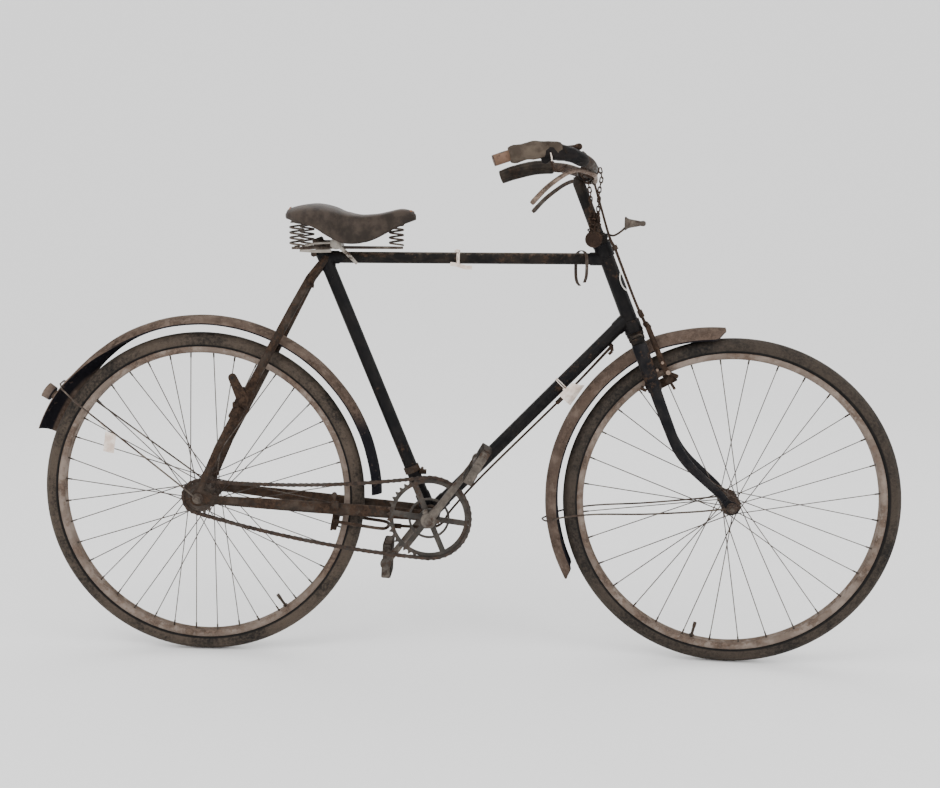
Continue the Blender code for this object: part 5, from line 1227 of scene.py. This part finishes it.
piece("front_stirrup_bent", stirrup, "steering", rust_coat, "front_brake_stirrup")
bolts = bmesh.new()
for x, y, z, radius in mm((1002.2, -46.5, 641, 4.8), (990, -45, 661.5, 3.2), (980, -39, 645, 3)):
    crosswise(Vector((x, y, z)), -0.0025, 0.0040, radius, 14, bolts)
piece("front_brake_bolts", bolts, "steering", bright_plate)

half = mm((408, 0, 288.5), (404, 24, 288.5), (390, 33.5, 290), (345, 34, 296), (305, 34, 302),
          (294, 26, 303), (291, 16.5, 303))
stirrup = rod(curve_through(mirrored(half[::-1])), STIRRUP_R, 16, Z_AXIS)
brake_blocks(REAR_AXLE, math.radians(-10.2), stirrup)
piece("rear_stirrup_bent", stirrup, "frame", rust_coat, "rear_brake_stirrup")

rear_rod = mm((870, 0, 696), (884.5, 0, 690.5), (876.5, 0, 680), (815, 0, 611.5), (753, 0, 547),
              (612, 0, 403), (545, 0, 326), (527, 0, 298), (500, 0, 286.5), (413, 0, 288.5))
joints = [((0.550, -0.006, 0.331), (0.550, 0.006, 0.331), 0.0062, 12),
          ((0.420, 0, 0.2880), (0.436, 0, 0.2870), 0.0060, 6),
          ((0.770, 0, 0.5645), (0.785, 0, 0.580), 0.0048, 6),
          ((0.8845, -0.004, 0.6905), (0.8845, 0.004, 0.6905), 0.0052, 12),
          ((0.8845, 0, 0.6905), (0.8865, 0, 0.6790), 0.0036, 10),
          ((0.8865, 0, 0.6790), (0.8790, 0, 0.6715), 0.0032, 10)]
brake_rod(rear_rod, [0.0045, 0.0042, 0.0030, *[0.0024] * 5, 0.0032, 0.0034], "frame", "rear_brake_rod",
          joints)


# Mudguards and their stays
# Rolled steel blades, deeply domed, rusted right through their enamel to a reddish brown. The
# rear one's tail is bent over sideways, and each has one bent wire stay bolted round it.

def guard_finish(name, centre, navy_below, seed):
    """Rust outside, black enamel left on the hollow side and, below one height, on the outside."""
    finish = weathered(name, (0.080, 0.056, 0.043), (0.130, 0.096, 0.076),
                       rust=0.45, dust=0.45, metal=0.0, gloss=0.74,
                       rust_tones=((0.032, 0.022, 0.017), (0.092, 0.064, 0.049), (0.17, 0.122, 0.094)),
                       pits=0.0004, seed=seed)
    outward = finish.node("ShaderNodeVectorMath", {"operation": "SUBTRACT"}, {0: finish.place, 1: centre})
    outward = finish.node("ShaderNodeVectorMath", {"operation": "NORMALIZE"}, {0: outward})
    facing = finish.node("ShaderNodeVectorMath", {"operation": "DOT_PRODUCT"},
                         {0: outward, 1: finish.normal}, "Value")
    hollow = 1 - facing.within(-0.30, -0.05)
    if navy_below is not None:
        height = finish.node("ShaderNodeSeparateXYZ", {}, {0: finish.place}, 2)
        ahead = finish.node("ShaderNodeSeparateXYZ", {}, {0: finish.place}, 0)
        low = (1 - height.within(navy_below - 0.03, navy_below + 0.03)) * ahead.within(-0.25, -0.2)
        hollow = hollow.most(low)
    patchy = hollow * (1 - finish.speckle(60, 6, 0.7, shift=seed + 2).within(0.60, 0.68) * 0.8)
    outside = Shade(finish, finish.shader.inputs["Base Color"].links[0].from_socket)
    finish.wear(Base_Color=finish.mix(patchy, outside, (0.0075, 0.0070, 0.0095)))
    return finish


GUARD_HALF_WIDTH, GUARD_HOLLOW_HALF, GUARD_WALL = 0.0262, 0.0250, 0.0012


def guard_section(centre, radius, rise, angle, roll=0.0, shift=0.0, ragged=0.0, narrow=1.0):
    """A domed strip's cross-section: a rolled bead at each edge and a raised middle line."""
    rise *= narrow**2
    outline = []
    for k in range(25):
        share = -1 + k / 12
        ridge = 0.0009 * max(0.0, 1 - abs(share) * 9)
        edge = 0.0009 if abs(share) > 0.93 else 0.0
        outline.append((share * GUARD_HALF_WIDTH * narrow + ragged * share * abs(share),
                        -rise * share**2 + ridge + edge))
    for k in range(25):
        share = 1 - k / 12
        edge = -0.0011 if abs(share) > 0.93 else 0.0
        outline.append((share * GUARD_HOLLOW_HALF * narrow + ragged * share * abs(share),
                        -rise * share**2 - GUARD_WALL + edge))
    points = []
    for y, r in outline:
        turned_y = y * math.cos(roll) + (r + rise / 2) * math.sin(roll)
        turned_r = (r + rise / 2) * math.cos(roll) - y * math.sin(roll) - rise / 2
        points.append(around(centre, radius + turned_r, angle, turned_y + shift))
    return points


loops = []
start, end, twist_start = math.radians(0.8), math.radians(159.5), math.radians(112)
for step in range(141):
    angle = start + (end - start) * step / 140
    share = max(0.0, (angle - twist_start) / (end - twist_start))
    ease = share * share * (3 - 2 * share)
    radius = 0.3925 - 0.005 * ease - 0.006 * max(0.0, -math.cos(angle))
    radius += 0.0007 * noise.noise(Vector((step * 0.13, 0, 0)))
    ragged = 0.0006 * noise.noise(Vector((step * 0.4, 7, 0)))
    loops.append(guard_section(REAR_AXLE, radius, 0.017, angle, math.radians(66) * ease, 0.014 * ease,
                               ragged))
rear_rust = guard_finish("rear_guard_rust", REAR_AXLE - SADDLE_TOP, -0.47, 45.0)
piece("rear_mudguard_rolled", skin(bmesh.new(), loops), "frame", rear_rust, "rear_mudguard")

loops = []
tip, crown_angle, end = math.radians(93.2), math.radians(115), math.radians(208)
for step in range(111):
    angle = tip + (end - tip) * step / 110
    share = max(0.0, (crown_angle - angle) / (crown_angle - tip))
    radius = 0.393 + (0.377 - 0.393) * share + 0.0010 * noise.noise(Vector((step * 0.11, 3, 0)))
    ragged = 0.0009 * noise.noise(Vector((step * 0.35, 1, 4)))
    to_tip, to_end = math.degrees(angle - tip) / 4, math.degrees(end - angle) / 4
    narrow = 0.45 + 0.55 * math.sin(min(1.0, to_tip) * math.pi / 2)
    narrow *= 0.30 + 0.70 * math.sin(min(1.0, to_end) * math.pi / 2)
    loops.append(guard_section(FRONT_AXLE, radius, 0.024, angle, ragged=ragged, narrow=narrow))
front_rust = guard_finish("front_guard_rust", STEERED @ FRONT_AXLE - SADDLE_TOP, None, 46.0)
piece("front_mudguard_rolled", skin(bmesh.new(), loops), "steering", front_rust, "front_mudguard")

STAY_WIRE_R = 0.0019
half = mm((-9.2, 67.4, 361.5), (-40.5, 67, 387), (-270, 47, 560))
path = [*other_way(half, -1), Vector((-0.307, -0.022, 0.584)), Vector((-0.3145, -0.010, 0.594)),
        Vector((-0.3140, 0.012, 0.598)), Vector((-0.302, 0.036, 0.589)), *reversed(other_way(half, 1))]
wire = rod(path, STAY_WIRE_R, 14, Z_AXIS)
for side in (-1, 1):
    washer(REAR_AXLE, 0.0118, side * 0.0649, side * 0.0668, 28, wire)
piece("rear_guard_stay_wire", wire, "frame", steel, "rear_mudguard_stay")

half = mm((1132, 55.4, 354.6), (1060, 54, 345), (960, 48, 335), (860, 40, 329), (790, 33, 318),
          (757, 24, 306), (743.5, 0, 305))
wire = rod(curve_through(mirrored(half), 4), STAY_WIRE_R, 14, Z_AXIS)
for side in (-1, 1):
    washer(FRONT_AXLE, 0.0118, side * 0.0529, side * 0.0548, 28, wire)
piece("front_guard_stay_wire", wire, "steering", steel, "front_mudguard_stay")


# Rear lamp
# A short round lamp of spun sheet steel, screwed to the mudguard's bent tail. Its glass is gone,
# its bowl is empty, and it has rusted with the guard.

lamp_angle = math.radians(147.5)
outward = Vector((math.cos(lamp_angle), 0, math.sin(lamp_angle)))
base = around(REAR_AXLE, 0.3910, lamp_angle, 0.004)
profile = mm((0, 10), (5, 10), (5.5, 15.8), (8, 16.6), (22, 17.2), (25.5, 17.6), (26, 17), (25.5, 15.5),
             (15, 14), (12, 6))
lamp_bowl = rod([base + outward * (0.002 + reach * 0.92) for reach, _ in profile],
                [r for _, r in profile], 40)
piece("rear_lamp_bowl", lamp_bowl, "frame", rear_rust, "rear_lamp", 30)


# Saddle
# A single moulded hide stretched from a steel cantle to a nose clip, dry and dark, with a worn
# ridge down each side of the seat and rivets at both ends. Its up-facing top is lighter, partly
# from wear and partly as painted highlight. The skirts hang free.

leather = Finish("dry_saddle_leather")
hide = leather.speckle(38, 7, 0.62)
pores = leather.node("ShaderNodeTexVoronoi", {}, {"Vector": leather.place, "Scale": 900.0})
creases = leather.speckle(120, 5, 0.7, (0.5, 2.2, 1.0), 4.0)
# Lighter towards the up-facing top: partly rubbed wear, partly painted highlight.
rubbed_and_highlit = (leather.facing_up().power(3.0) * 0.65 + hide * 0.55).within(0.62, 1.05)
tone = leather.mix(hide.within(0.35, 0.65), (0.018, 0.0125, 0.0090), (0.046, 0.033, 0.025))
tone = leather.mix(rubbed_and_highlit * 0.38, tone, (0.090, 0.067, 0.052))
tone = leather.mix(creases.within(0.62, 0.74) * 0.4, tone, (0.008, 0.006, 0.0045))
leather.wear(Base_Color=tone, Roughness=0.40 + hide * 0.25, Specular_IOR_Level=0.2,
             Normal=leather.bumped(hide * 0.5 + creases * 0.45 - pores * 0.12, 0.0009))

SKIRT_START, SKIRT_SHARE = 0.72, 0.28       # shares of the half width: the seat, then the skirt
SADDLE_SECTIONS = mm((193, 46, 970, 963, 958), (197, 62, 976, 964, 956), (203, 78, 981, 965, 955),
                     (230, 97, 989, 966, 947), (262, 100, 992, 965, 937), (290, 84, 986, 963, 919),
                     (318, 58, 974, 960, 905), (348, 42, 967, 957, 904.5), (375, 35, 968, 959, 913),
                     (405, 30, 973, 963, 928), (435, 26, 979, 967, 943), (455, 20, 976, 964, 951),
                     (466, 10, 967, 959, 955))


def saddle_sheet():
    stations = []
    for before, a, b, after in zip((SADDLE_SECTIONS[0], *SADDLE_SECTIONS), SADDLE_SECTIONS,
                                   SADDLE_SECTIONS[1:], (*SADDLE_SECTIONS[2:], SADDLE_SECTIONS[-1])):
        for step in range(6):
            stations.append([eased(*four, step / 6) for four in zip(before, a, b, after)])
    stations.append(list(SADDLE_SECTIONS[-1]))
    bm = bmesh.new()
    rows = []
    for x, half, top, edge, skirt in stations:
        line = []
        for k in range(33):
            share = -1 + k / 16
            size = min(1.0, abs(share) / SKIRT_START)
            if abs(share) <= SKIRT_START:
                dip = 0.0022 * math.exp(-(share / 0.2) ** 2) * (1 if x < 0.32 else 0.3)
                y = half * math.sin(size * math.pi / 2) * math.copysign(1, share)
                z = edge + (top - edge) * math.cos(size * math.pi / 2) ** 0.9 - dip
            else:
                fall = (abs(share) - SKIRT_START) / SKIRT_SHARE
                y = (half - 0.004 * fall * fall) * math.copysign(1, share)
                z = edge - (edge - skirt) * fall
            y *= 0.985
            line.append(bm.verts.new((x, y, z - 0.0006)))
        rows.append(line)
    for a, b in zip(rows, rows[1:]):
        for k in range(32):
            bm.faces.new((a[k], b[k], b[k + 1], a[k + 1]))
    for vertex in bm.verts:
        vertex.co.z += 0.0012 * noise.noise(vertex.co * 30)
        vertex.co.y += 0.0008 * noise.noise(vertex.co * 45 + Vector((4, 0, 0)))
    return bm


sheet = saddle_sheet()
bmesh.ops.recalc_face_normals(sheet, faces=sheet.faces[:])
if sum(face.normal.z for face in sheet.faces) < 0:
    bmesh.ops.reverse_faces(sheet, faces=sheet.faces[:])
sheet_mesh = bpy.data.meshes.new("saddle_hide")
sheet.to_mesh(sheet_mesh)
sheet.free()
saddle_source = shown("saddle_hide_source", sheet_mesh)
thick = saddle_source.modifiers.new("hide", "SOLIDIFY")
thick.thickness = 0.0035
thick.offset = -1
soft = saddle_source.modifiers.new("soft", "SUBSURF")
soft.levels = soft.render_levels = 1
saddle_mesh = applied(saddle_source)
saddle_mesh.shade_smooth()
saddle_mesh.materials.append(leather.material)
piece("saddle_hide", saddle_mesh, "frame", leather, "saddle_leather")

copper = weathered("copper_rivets", (0.30, 0.14, 0.075), (0.20, 0.10, 0.06),
                   rust=0.2, dust=0.2, metal=0.85, gloss=0.4, seed=48.0)
rivet = bmesh.new()
bmesh.ops.create_uvsphere(rivet, u_segments=12, v_segments=6, radius=0.0034,
                          matrix=Matrix.Diagonal((1, 1, 0.35, 1)))
rivet_mesh = mesh_of(rivet, "rivet")
spots = []
for x, y, z, lean_x, lean_y in ((0.2035, -0.055, 0.9760, 0.35, -0.5), (0.2005, -0.024, 0.9795, 0.12, -0.5),
                                (0.2005, 0.024, 0.9795, -0.12, -0.5), (0.2035, 0.055, 0.9760, -0.35, -0.5),
                                (0.4550, -0.011, 0.9735, 0.5, 0.3), (0.4550, 0.011, 0.9735, -0.5, 0.3),
                                (0.4600, 0.0, 0.9720, 0.0, 0.5)):
    spots.append((Vector((x, y, z)), (lean_x, lean_y, 0)))
piece("saddle_rivets", repeated("rivets", rivet_mesh, spots, copper), "frame", copper)


# Saddle springs, rails and clamp
# Coil springs stand on a wire chassis below the hide, and a block with a through bolt grips the
# wires to the seat pin. Springs and wires are brown; the clamp and a loose strap are bright.

coil_tree, given, taken = new_tree("coil_spring", {"Base": "Geometry", "Turns": "Float",
                                                   "Radius": "Float", "Height": "Float",
                                                   "Wire": "Float", "Finish": "Material"})
nodes = coil_tree.nodes
coil = nodes.new("GeometryNodeCurveSpiral")
coil.inputs["Resolution"].default_value = 26
section = nodes.new("GeometryNodeCurvePrimitiveCircle")
section.inputs["Resolution"].default_value = 12
swept = nodes.new("GeometryNodeCurveToMesh")
swept.inputs["Fill Caps"].default_value = True
for start, end in ((given.outputs["Turns"], coil.inputs["Rotations"]),
                   (given.outputs["Radius"], coil.inputs["Start Radius"]),
                   (given.outputs["Radius"], coil.inputs["End Radius"]),
                   (given.outputs["Height"], coil.inputs["Height"]),
                   (given.outputs["Wire"], section.inputs["Radius"]),
                   (coil.outputs[0], swept.inputs["Curve"]),
                   (section.outputs[0], swept.inputs["Profile Curve"])):
    coil_tree.links.new(start, end)
finished(coil_tree, given, taken, swept.outputs[0])

SPRING_X, SPRING_Y, FRONT_SPRING_X, SPRING_Z = 0.2215, 0.069, 0.424, 0.9008
for name, x, y in (("right", SPRING_X, -SPRING_Y), ("left", SPRING_X, SPRING_Y),
                   ("front", FRONT_SPRING_X, 0.0)):
    spring = grown("spring_" + name, bpy.data.meshes.new("spring_base"), coil_tree, Turns=4.0,
                   Radius=0.0145, Height=0.0436, Wire=0.0021, Finish=steel)
    spring.transform(Matrix.Translation((x, y, SPRING_Z)))
    piece("saddle_spring_coil_" + name, spring, "frame", steel, "saddle_spring_" + name)

chassis = bmesh.new()
clamp_middle = Vector((0.297, 0, 0.9035))
rounded_block((0.0235, 0.0590, 0.0205), 0, clamp_middle, chassis, 0.003)
for start, end, radius, sides in ((-0.0315, -0.0255, 0.0075, 6), (0.0255, 0.0315, 0.0075, 6),
                                  (-0.0215, -0.0095, 0.0118, 32), (0.0095, 0.0215, 0.0118, 32)):
    crosswise(clamp_middle, start, end, radius, sides, chassis)
rod(mm((303.5, -30.5, 901), (325, -31.8, 880.5), (343, -33.5, 862)),
    mm((0.9, 4.5), (0.9, 4.2), (0.9, 3)), 12, bm=chassis)
strip_finish = weathered("worn_tin_strip", (0.34, 0.31, 0.27), (0.24, 0.21, 0.18),
                         rust=0.20, dust=0.15, metal=0.4, gloss=0.4, seed=40.0)
rod(mm((226, -64, 890.5), (256, -50, 888.5), (288, -33, 889)), (0.0035, 0.0010), 12, Z_AXIS,
    bm=chassis)
rod(mm((233, -60, 898.5), (256, -50, 905), (286, -33, 906.5)), (0.0025, 0.0009), 12, Z_AXIS,
    bm=chassis)
piece("saddle_clamp", chassis, "frame", strip_finish, "saddle_frame")

rails = bmesh.new()
for side in (-1, 1):
    route = mm((221.5, 69, 895.5), (255, 50, 895.5), (283, 26, 895.5), (313, 21, 895.5), (360, 14, 895.5),
               (424, 7, 895.5))
    rod(curve_through(other_way(route, side), 5), 0.0029, 14, Z_AXIS, bm=rails)
    for low, high, radius in mm((893, 898, 11.8), (897.5, 900.5, 6), (947.5, 950, 14)):
        rod([(SPRING_X, side * SPRING_Y, low), (SPRING_X, side * SPRING_Y, high)], radius, 28, X_AXIS,
            bm=rails)
for low, high, radius in mm((893, 898, 14.3), (945, 947.5, 14)):
    rod([(FRONT_SPRING_X, 0, low), (FRONT_SPRING_X, 0, high)], radius, 28, X_AXIS, bm=rails)
cantle_route = mm((236, 82, 951), (221.5, 71, 952.5), (206, 40, 955), (202, 0, 956.5))
rod(curve_through(mirrored(cantle_route, 1), 5), (0.0065, 0.0018), 14, Z_AXIS, bm=rails)
nose_route = mm((386, 0, 950), (424, 0, 949), (450, 0, 955), (461, 0, 960))
rod(curve_through(nose_route, 5), (0.0080, 0.0020), 14, Y_AXIS, bm=rails)
piece("saddle_chassis", rails, "frame", steel)

pin = rod([on_seat(0.8893), on_seat(0.9120), on_seat(0.9150)], [0.0125, 0.0125, 0.0108], 28)
rod([on_seat(0.9035), Vector((0.2845, 0, 0.9035))], 0.0078, 24, bm=pin)
bolt = on_seat(0.8815) + X_AXIS * -0.0185
crosswise(bolt, -0.0175, 0.0175, 0.0040, 14, pin)
for y in (-0.0205, 0.0155):
    crosswise(bolt, y, y + 0.005, 0.0066, 6, pin)
piece("seat_pin", pin, "frame", steel, "seat_post")

fittings = rod(curve_through(mm((236, -19, 828), (242.8, -23, 827), (246.8, -24, 820),
                                (246.8, -24, 810)), 5), 0.0030, 12)
rounded_block((0.018, 0.012, 0.0150), 0.1, Vector((0.2960, -0.0500, 0.3440)), fittings, 0.002)
rod([(0.2960, -0.0500, 0.350), (0.2950, -0.0500, 0.3640)], 0.0034, 10, bm=fittings)
washer(Vector((0.2950, 0, 0.3660)), 0.0060, -0.0530, -0.0470, 14, fittings)
piece("stay_hook_and_bracket", fittings, "frame", brown_frame)


# Dynamo bracket
# Two bands clamp the right seat stay, and a bent arm ends in a bored ear where a dynamo once
# hung; its bore is shown by a disc of painted shade. It is rusted to a deep crust.

low, high = Vector((0.0785, -0.0563, 0.529)), Vector((0.1265, -0.0496, 0.6186))
along = high - low
BAND_BEVEL = 0.0012
bands = bmesh.new()
for start, end, radius in ((0.0, 0.30, 0.0135), (0.34, 0.70, 0.0165), (0.42, 0.46, 0.0172),
                           (0.58, 0.62, 0.0172)):
    path = [low + along * start, low + along * (start + 0.02), low + along * (end - 0.02),
            low + along * end]
    rod(path, [radius - BAND_BEVEL, radius, radius, radius - BAND_BEVEL], 28, bm=bands)
rounded_block((0.014, 0.006, 0.014), 0, low + along * 0.32 + Vector((-0.008, -0.011, 0.004)), bands)
ear = Vector((0.081, -0.0708, 0.621))
middle = low + along * 0.5
outline = []
heading = math.atan2(ear.z - middle.z, ear.x - middle.x)
for centre, radius, turn in ((middle, 0.0125, math.pi / 2), (ear, 0.0088, -math.pi / 2)):
    for k in range(14):
        angle = heading + turn + math.pi * k / 13
        outline.append((centre.x + radius * math.cos(angle), centre.z + radius * math.sin(angle)))
plate(outline, -0.0733, -0.0682, bands)
washer(ear, 0.0072, -0.0746, -0.0730, 28, bands)
washer(Vector((middle.x, 0, middle.z)), 0.0080, -0.0765, -0.0730, 6, bands)
washer(Vector((low.x + 0.006, 0, low.z + 0.012)), 0.0058, -0.0745, -0.0690, 6, bands)
piece("dynamo_bracket_bands", bands, "frame", rust_coat, "dynamo_bracket")
# painted shade: a thin near-black disc on the ear's face stands for the shaded bore, which is not cut
bore_shade_disc = washer(ear, 0.0036, -0.0750, -0.0745, 20)
hollow = Finish("painted_bore_shade")
hollow.wear(Base_Color=hollow.mix(hollow.speckle(400), (0.004, 0.003, 0.003), (0.010, 0.007, 0.006)),
            Roughness=0.95)
piece("dynamo_ear_bore", bore_shade_disc, "frame", hollow)


# Horn cup
# A small spun trumpet-shaped cup on a bent wire that is held under the headset's lock nut. Its
# rubber bulb is gone.

cup_start = on_head(0.9195) + Y_AXIS.cross(head_dir) * 0.0190
stalk = curve_through([cup_start, (0.884, -0.012, 0.9245), (0.899, -0.019, 0.934),
                       (0.909, -0.020, 0.944)], 6)
horn = rod(stalk, 0.0023, 14)
profile = mm((907.5, 10), (905.2, 13), (905.8, 14), (907.8, 14.4), (910.5, 12), (914, 10), (920, 8.6),
             (928, 7.2), (936, 5.6), (938.5, 5), (941, 5.7), (944.5, 5.8), (947.8, 4.4), (949, 2))
rod([Vector((x, -0.020, 0.950)) for x, _ in profile], [r for _, r in profile], 36, bm=horn)
piece("horn_trumpet", horn, "steering", steel, "horn_cup")


# Security chain and padlock
# A welded link chain hung over the bar and the lever and closed with a small pressed padlock. Its
# spare links lie in a bunch on the lock, and both have gone brown.

LOCK_Y, LINK_PITCH = -0.045, 0.0098
route = [Vector((x, LOCK_Y, z)) for x, z in mm((843, 943), (850.5, 951), (849.5, 981), (851.5, 1020),
                                               (855.5, 1045), (852, 1060), (831, 1075.5), (811, 1060),
                                               (816.5, 1044.5), (828, 1033), (833.5, 1010), (834, 981),
                                               (835.5, 951))]
spots = strung_along(route, LINK_PITCH)
oval = []
for k in range(20):
    turn = math.tau * k / 20
    oval.append(Vector((0.0030 * math.copysign(1, math.cos(turn)) + 0.0031 * math.cos(turn), 0,
                        0.0030 * math.sin(turn))))
for name, first, roll in (("security_links_flat", 0, 0.0), ("security_links_upright", 1, math.pi / 2)):
    item_mesh = mesh_of(rod(oval, 0.00150, 8, Y_AXIS, closed=True), "oval_link")
    turns = []
    for place, heading in spots[first::2]:
        turn = Matrix.Rotation(-heading, 3, "Y") @ Matrix.Rotation(roll, 3, "X")
        turns.append((place, tuple(turn.to_euler())))
    for bunch in range(18):
        at = Vector((0.8425 + 0.0080 * math.sin(bunch * 2.4 + first),
                     LOCK_Y + 0.006 * math.cos(bunch * 1.7 + first), 0.925 + 0.0026 * bunch))
        turns.append((at, (bunch * 1.1 + first, bunch * 0.7, bunch * 2.3)))
    made = repeated(name, item_mesh, turns, rust_coat)
    piece(name, made, "steering", rust_coat, "security_chain" if first == 0 else ())

lock_finish = weathered("brown_lock", (0.022, 0.013, 0.009), (0.048, 0.028, 0.019),
                        rust=0.40, dust=0.1, metal=0.0, gloss=0.62, seed=43.0)
lock_middle = Vector((0.8415, LOCK_Y, 0.9178))
lock = bmesh.new()
LOCK_BEVEL = 0.0012
for radius, half in mm((17, 8.8), (17.8, 2), (13.2, 9.8)):
    rims = (-half, -half + LOCK_BEVEL, half - LOCK_BEVEL, half)
    rod([lock_middle + Y_AXIS * rim for rim in rims],
        [radius - LOCK_BEVEL, radius, radius, radius - LOCK_BEVEL], 36, X_AXIS, bm=lock)
rounded_block((0.0045, 0.0022, 0.0110), 0, lock_middle + Vector((-0.001, -0.0098, -0.002)), lock, 0.0008)
shackle = mm((843, 6.8, 925), (843, 6.8, 945), (843, 5, 951.5), (843, 0, 953.5))
rod(curve_through([p + Y_AXIS * LOCK_Y for p in mirrored(shackle)], 5), 0.0022, 14, X_AXIS, bm=lock)
piece("padlock_pressed", lock, "steering", lock_finish, "padlock")


# Band clip
# A thin spring-steel band, once a cable or pump clip, that has sprung open and hangs over the top
# tube by the head.

swing = Matrix.Rotation(math.radians(28), 3, "Z")
middle = Vector((0.817, 0, 0.8535))
route = mm((-14, -28.5), (-21.5, -12), (-21.5, 20), (-16, 33), (0, 38.5), (16, 33), (21.5, 20),
           (21.5, -12), (16, -28.5), (5, -36))
path = curve_through([middle + swing @ Vector((0, y, z)) for y, z in route], 6)
band = rod(path, (0.0008, 0.0040), 12, swing @ Y_AXIS)
piece("band_clip_sprung", band, "frame", steel, "band_clip")


# Labels
# Small blank card labels tied on with string: one round the top tube, one round the down tube
# and one on the rear mudguard's stay. They are creased, stained and bare.

def card_sheet(bm, corners, bow, half_thickness, steps):
    """A thin card between four corners. Bow gives its place on Y at each share of its length."""
    a, b, c, d = corners
    loops = []
    for step in range(steps + 1):
        share = step / steps
        low, high = a.lerp(b, share), d.lerp(c, share)
        near, far = Y_AXIS * (bow(share) - half_thickness), Y_AXIS * (bow(share) + half_thickness)
        loops.append([low + near, high + near, high + far, low + far])
    skin(bm, loops)


top_spot = Vector((0.5555, 0, 0.8745))


def string_turns(middle, along, radius, offsets, bm):
    """Turns of string round a tube."""
    across = along.cross(Y_AXIS)
    for offset, lean in offsets:
        ring = []
        for k in range(28):
            turn = math.tau * k / 28
            ring.append(middle + along * (offset + lean * math.cos(turn)) + Y_AXIS * radius * math.cos(turn)
                        + across * radius * math.sin(turn))
        rod(ring, 0.0010, 6, along, bm=bm, closed=True)


tie = bmesh.new()
string_turns(top_spot, X_AXIS, 0.0131, mm((-0.5, 1), (1.6, -0.8), (3.6, 0.6)), tie)
rod(curve_through(mm((549, -4, 888.5), (553.5, -7, 892), (559, -3, 890.5), (556, -1, 888),
                     (551, -6, 889.5), (557.5, -9, 888)), 5), 0.0017, 8, bm=tie)
rod(curve_through(mm((555.5, -12.5, 883), (557, -14.5, 874.5), (556, -14, 864), (559, -9, 859)), 5),
    0.0012, 8, bm=tie)
strip = curve_through(mm((539.5, -8.5, 862.5), (556, -7.5, 859.7), (571, -8, 855.2), (586, -9, 854.8)), 6)
rod(strip, [(0.0044, 0.0006)] * len(strip), 12, Z_AXIS, bm=tie)
piece("top_tube_tie", tie, "frame", card, "top_tube_label")

spot = bracket.lerp(down_end, 0.6635)
tie = bmesh.new()
string_turns(spot + down_dir * 0.002, down_dir, 0.0149, ((-0.0012, 0.0008), (0.0010, -0.0012)), tie)
knot = spot + down_dir * 0.002 + Vector((0.006, -0.0135, -0.011))
rounded_block((0.006, 0.005, 0.006), 0.7, knot, tie, 0.0012)
corners = [spot + Vector((x, 0, z))
           for x, z in mm((-4, -21), (21.5, -46), (51.5, -2), (23.5, 5))]
card_sheet(tie, corners, lambda share: -0.0155 - 0.004 * math.sin(share * math.pi) + 0.0195 * share**2
           + 0.0006 * math.sin(share * 17), 0.0004, 24)
piece("down_tube_tag", tie, "frame", card, "down_tube_label")

knot = Vector((-0.214, -0.0515, 0.5168))
string = rod(curve_through([knot + Vector((-0.004, 0, 0.004)), knot + Vector((0.003, -0.001, -0.004)),
                            knot + Vector((0.010, -0.001, -0.011)), (-0.1985, -0.053, 0.499)], 5),
             0.0011, 8)
corners = [Vector((x, -0.053, z))
           for x, z in mm((-208.5, 454.5), (-185.5, 449.5), (-179, 491.5), (-202.5, 497.5))]
card_sheet(string, corners, lambda share: -0.0012 * math.sin(share * math.pi), 0.00045, 8)
piece("stay_tag", string, "frame", card, "stay_label")


# Head badge
# A small oval plate of enamelled tin, curved round the front of the head tube and riveted to it.
# Its rim is chipped white and its middle is bare and dark.

badge_middle = on_head(0.8215)
forward = Y_AXIS.cross(head_dir)
BADGE_TURN, BADGE_HALF_ANGLE, BADGE_HALF_HEIGHT = -0.42, 0.66, 0.0205


def badge_part(name, rings, finish):
    """A part of the plate, curved round the head tube, from rings of (share of size, distance out)."""
    bm = bmesh.new()
    rows = []
    for grow, lift in rings:
        ring = []
        for k in range(40):
            turn = math.tau * k / 40
            out = Quaternion(head_dir, grow * BADGE_HALF_ANGLE * math.cos(turn) + BADGE_TURN) @ forward
            ring.append(bm.verts.new(badge_middle + head_dir * BADGE_HALF_HEIGHT * grow * math.sin(turn)
                                     + out * lift))
        rows.append(ring)
    for a, b in zip(rows, rows[1:]):
        for k in range(40):
            bm.faces.new((a[k], a[(k + 1) % 40], b[(k + 1) % 40], b[k]))
    bm.faces.new(rows[-1])
    piece(name, bm, "frame", finish)


badge_finish = weathered("chipped_white_badge", (0.62, 0.60, 0.56), (0.42, 0.39, 0.35),
                         rust=0.12, dust=0.2, metal=0.0, gloss=0.4, seed=51.0)
badge_part("head_badge_rim", ((1.0, 0.0160), (1.0, 0.0172), (0.97, 0.0175), (0.80, 0.0175)), badge_finish)
badge_part("head_badge_middle", ((0.82, 0.0170), (0.80, 0.0178), (0.40, 0.0180)), enamel)
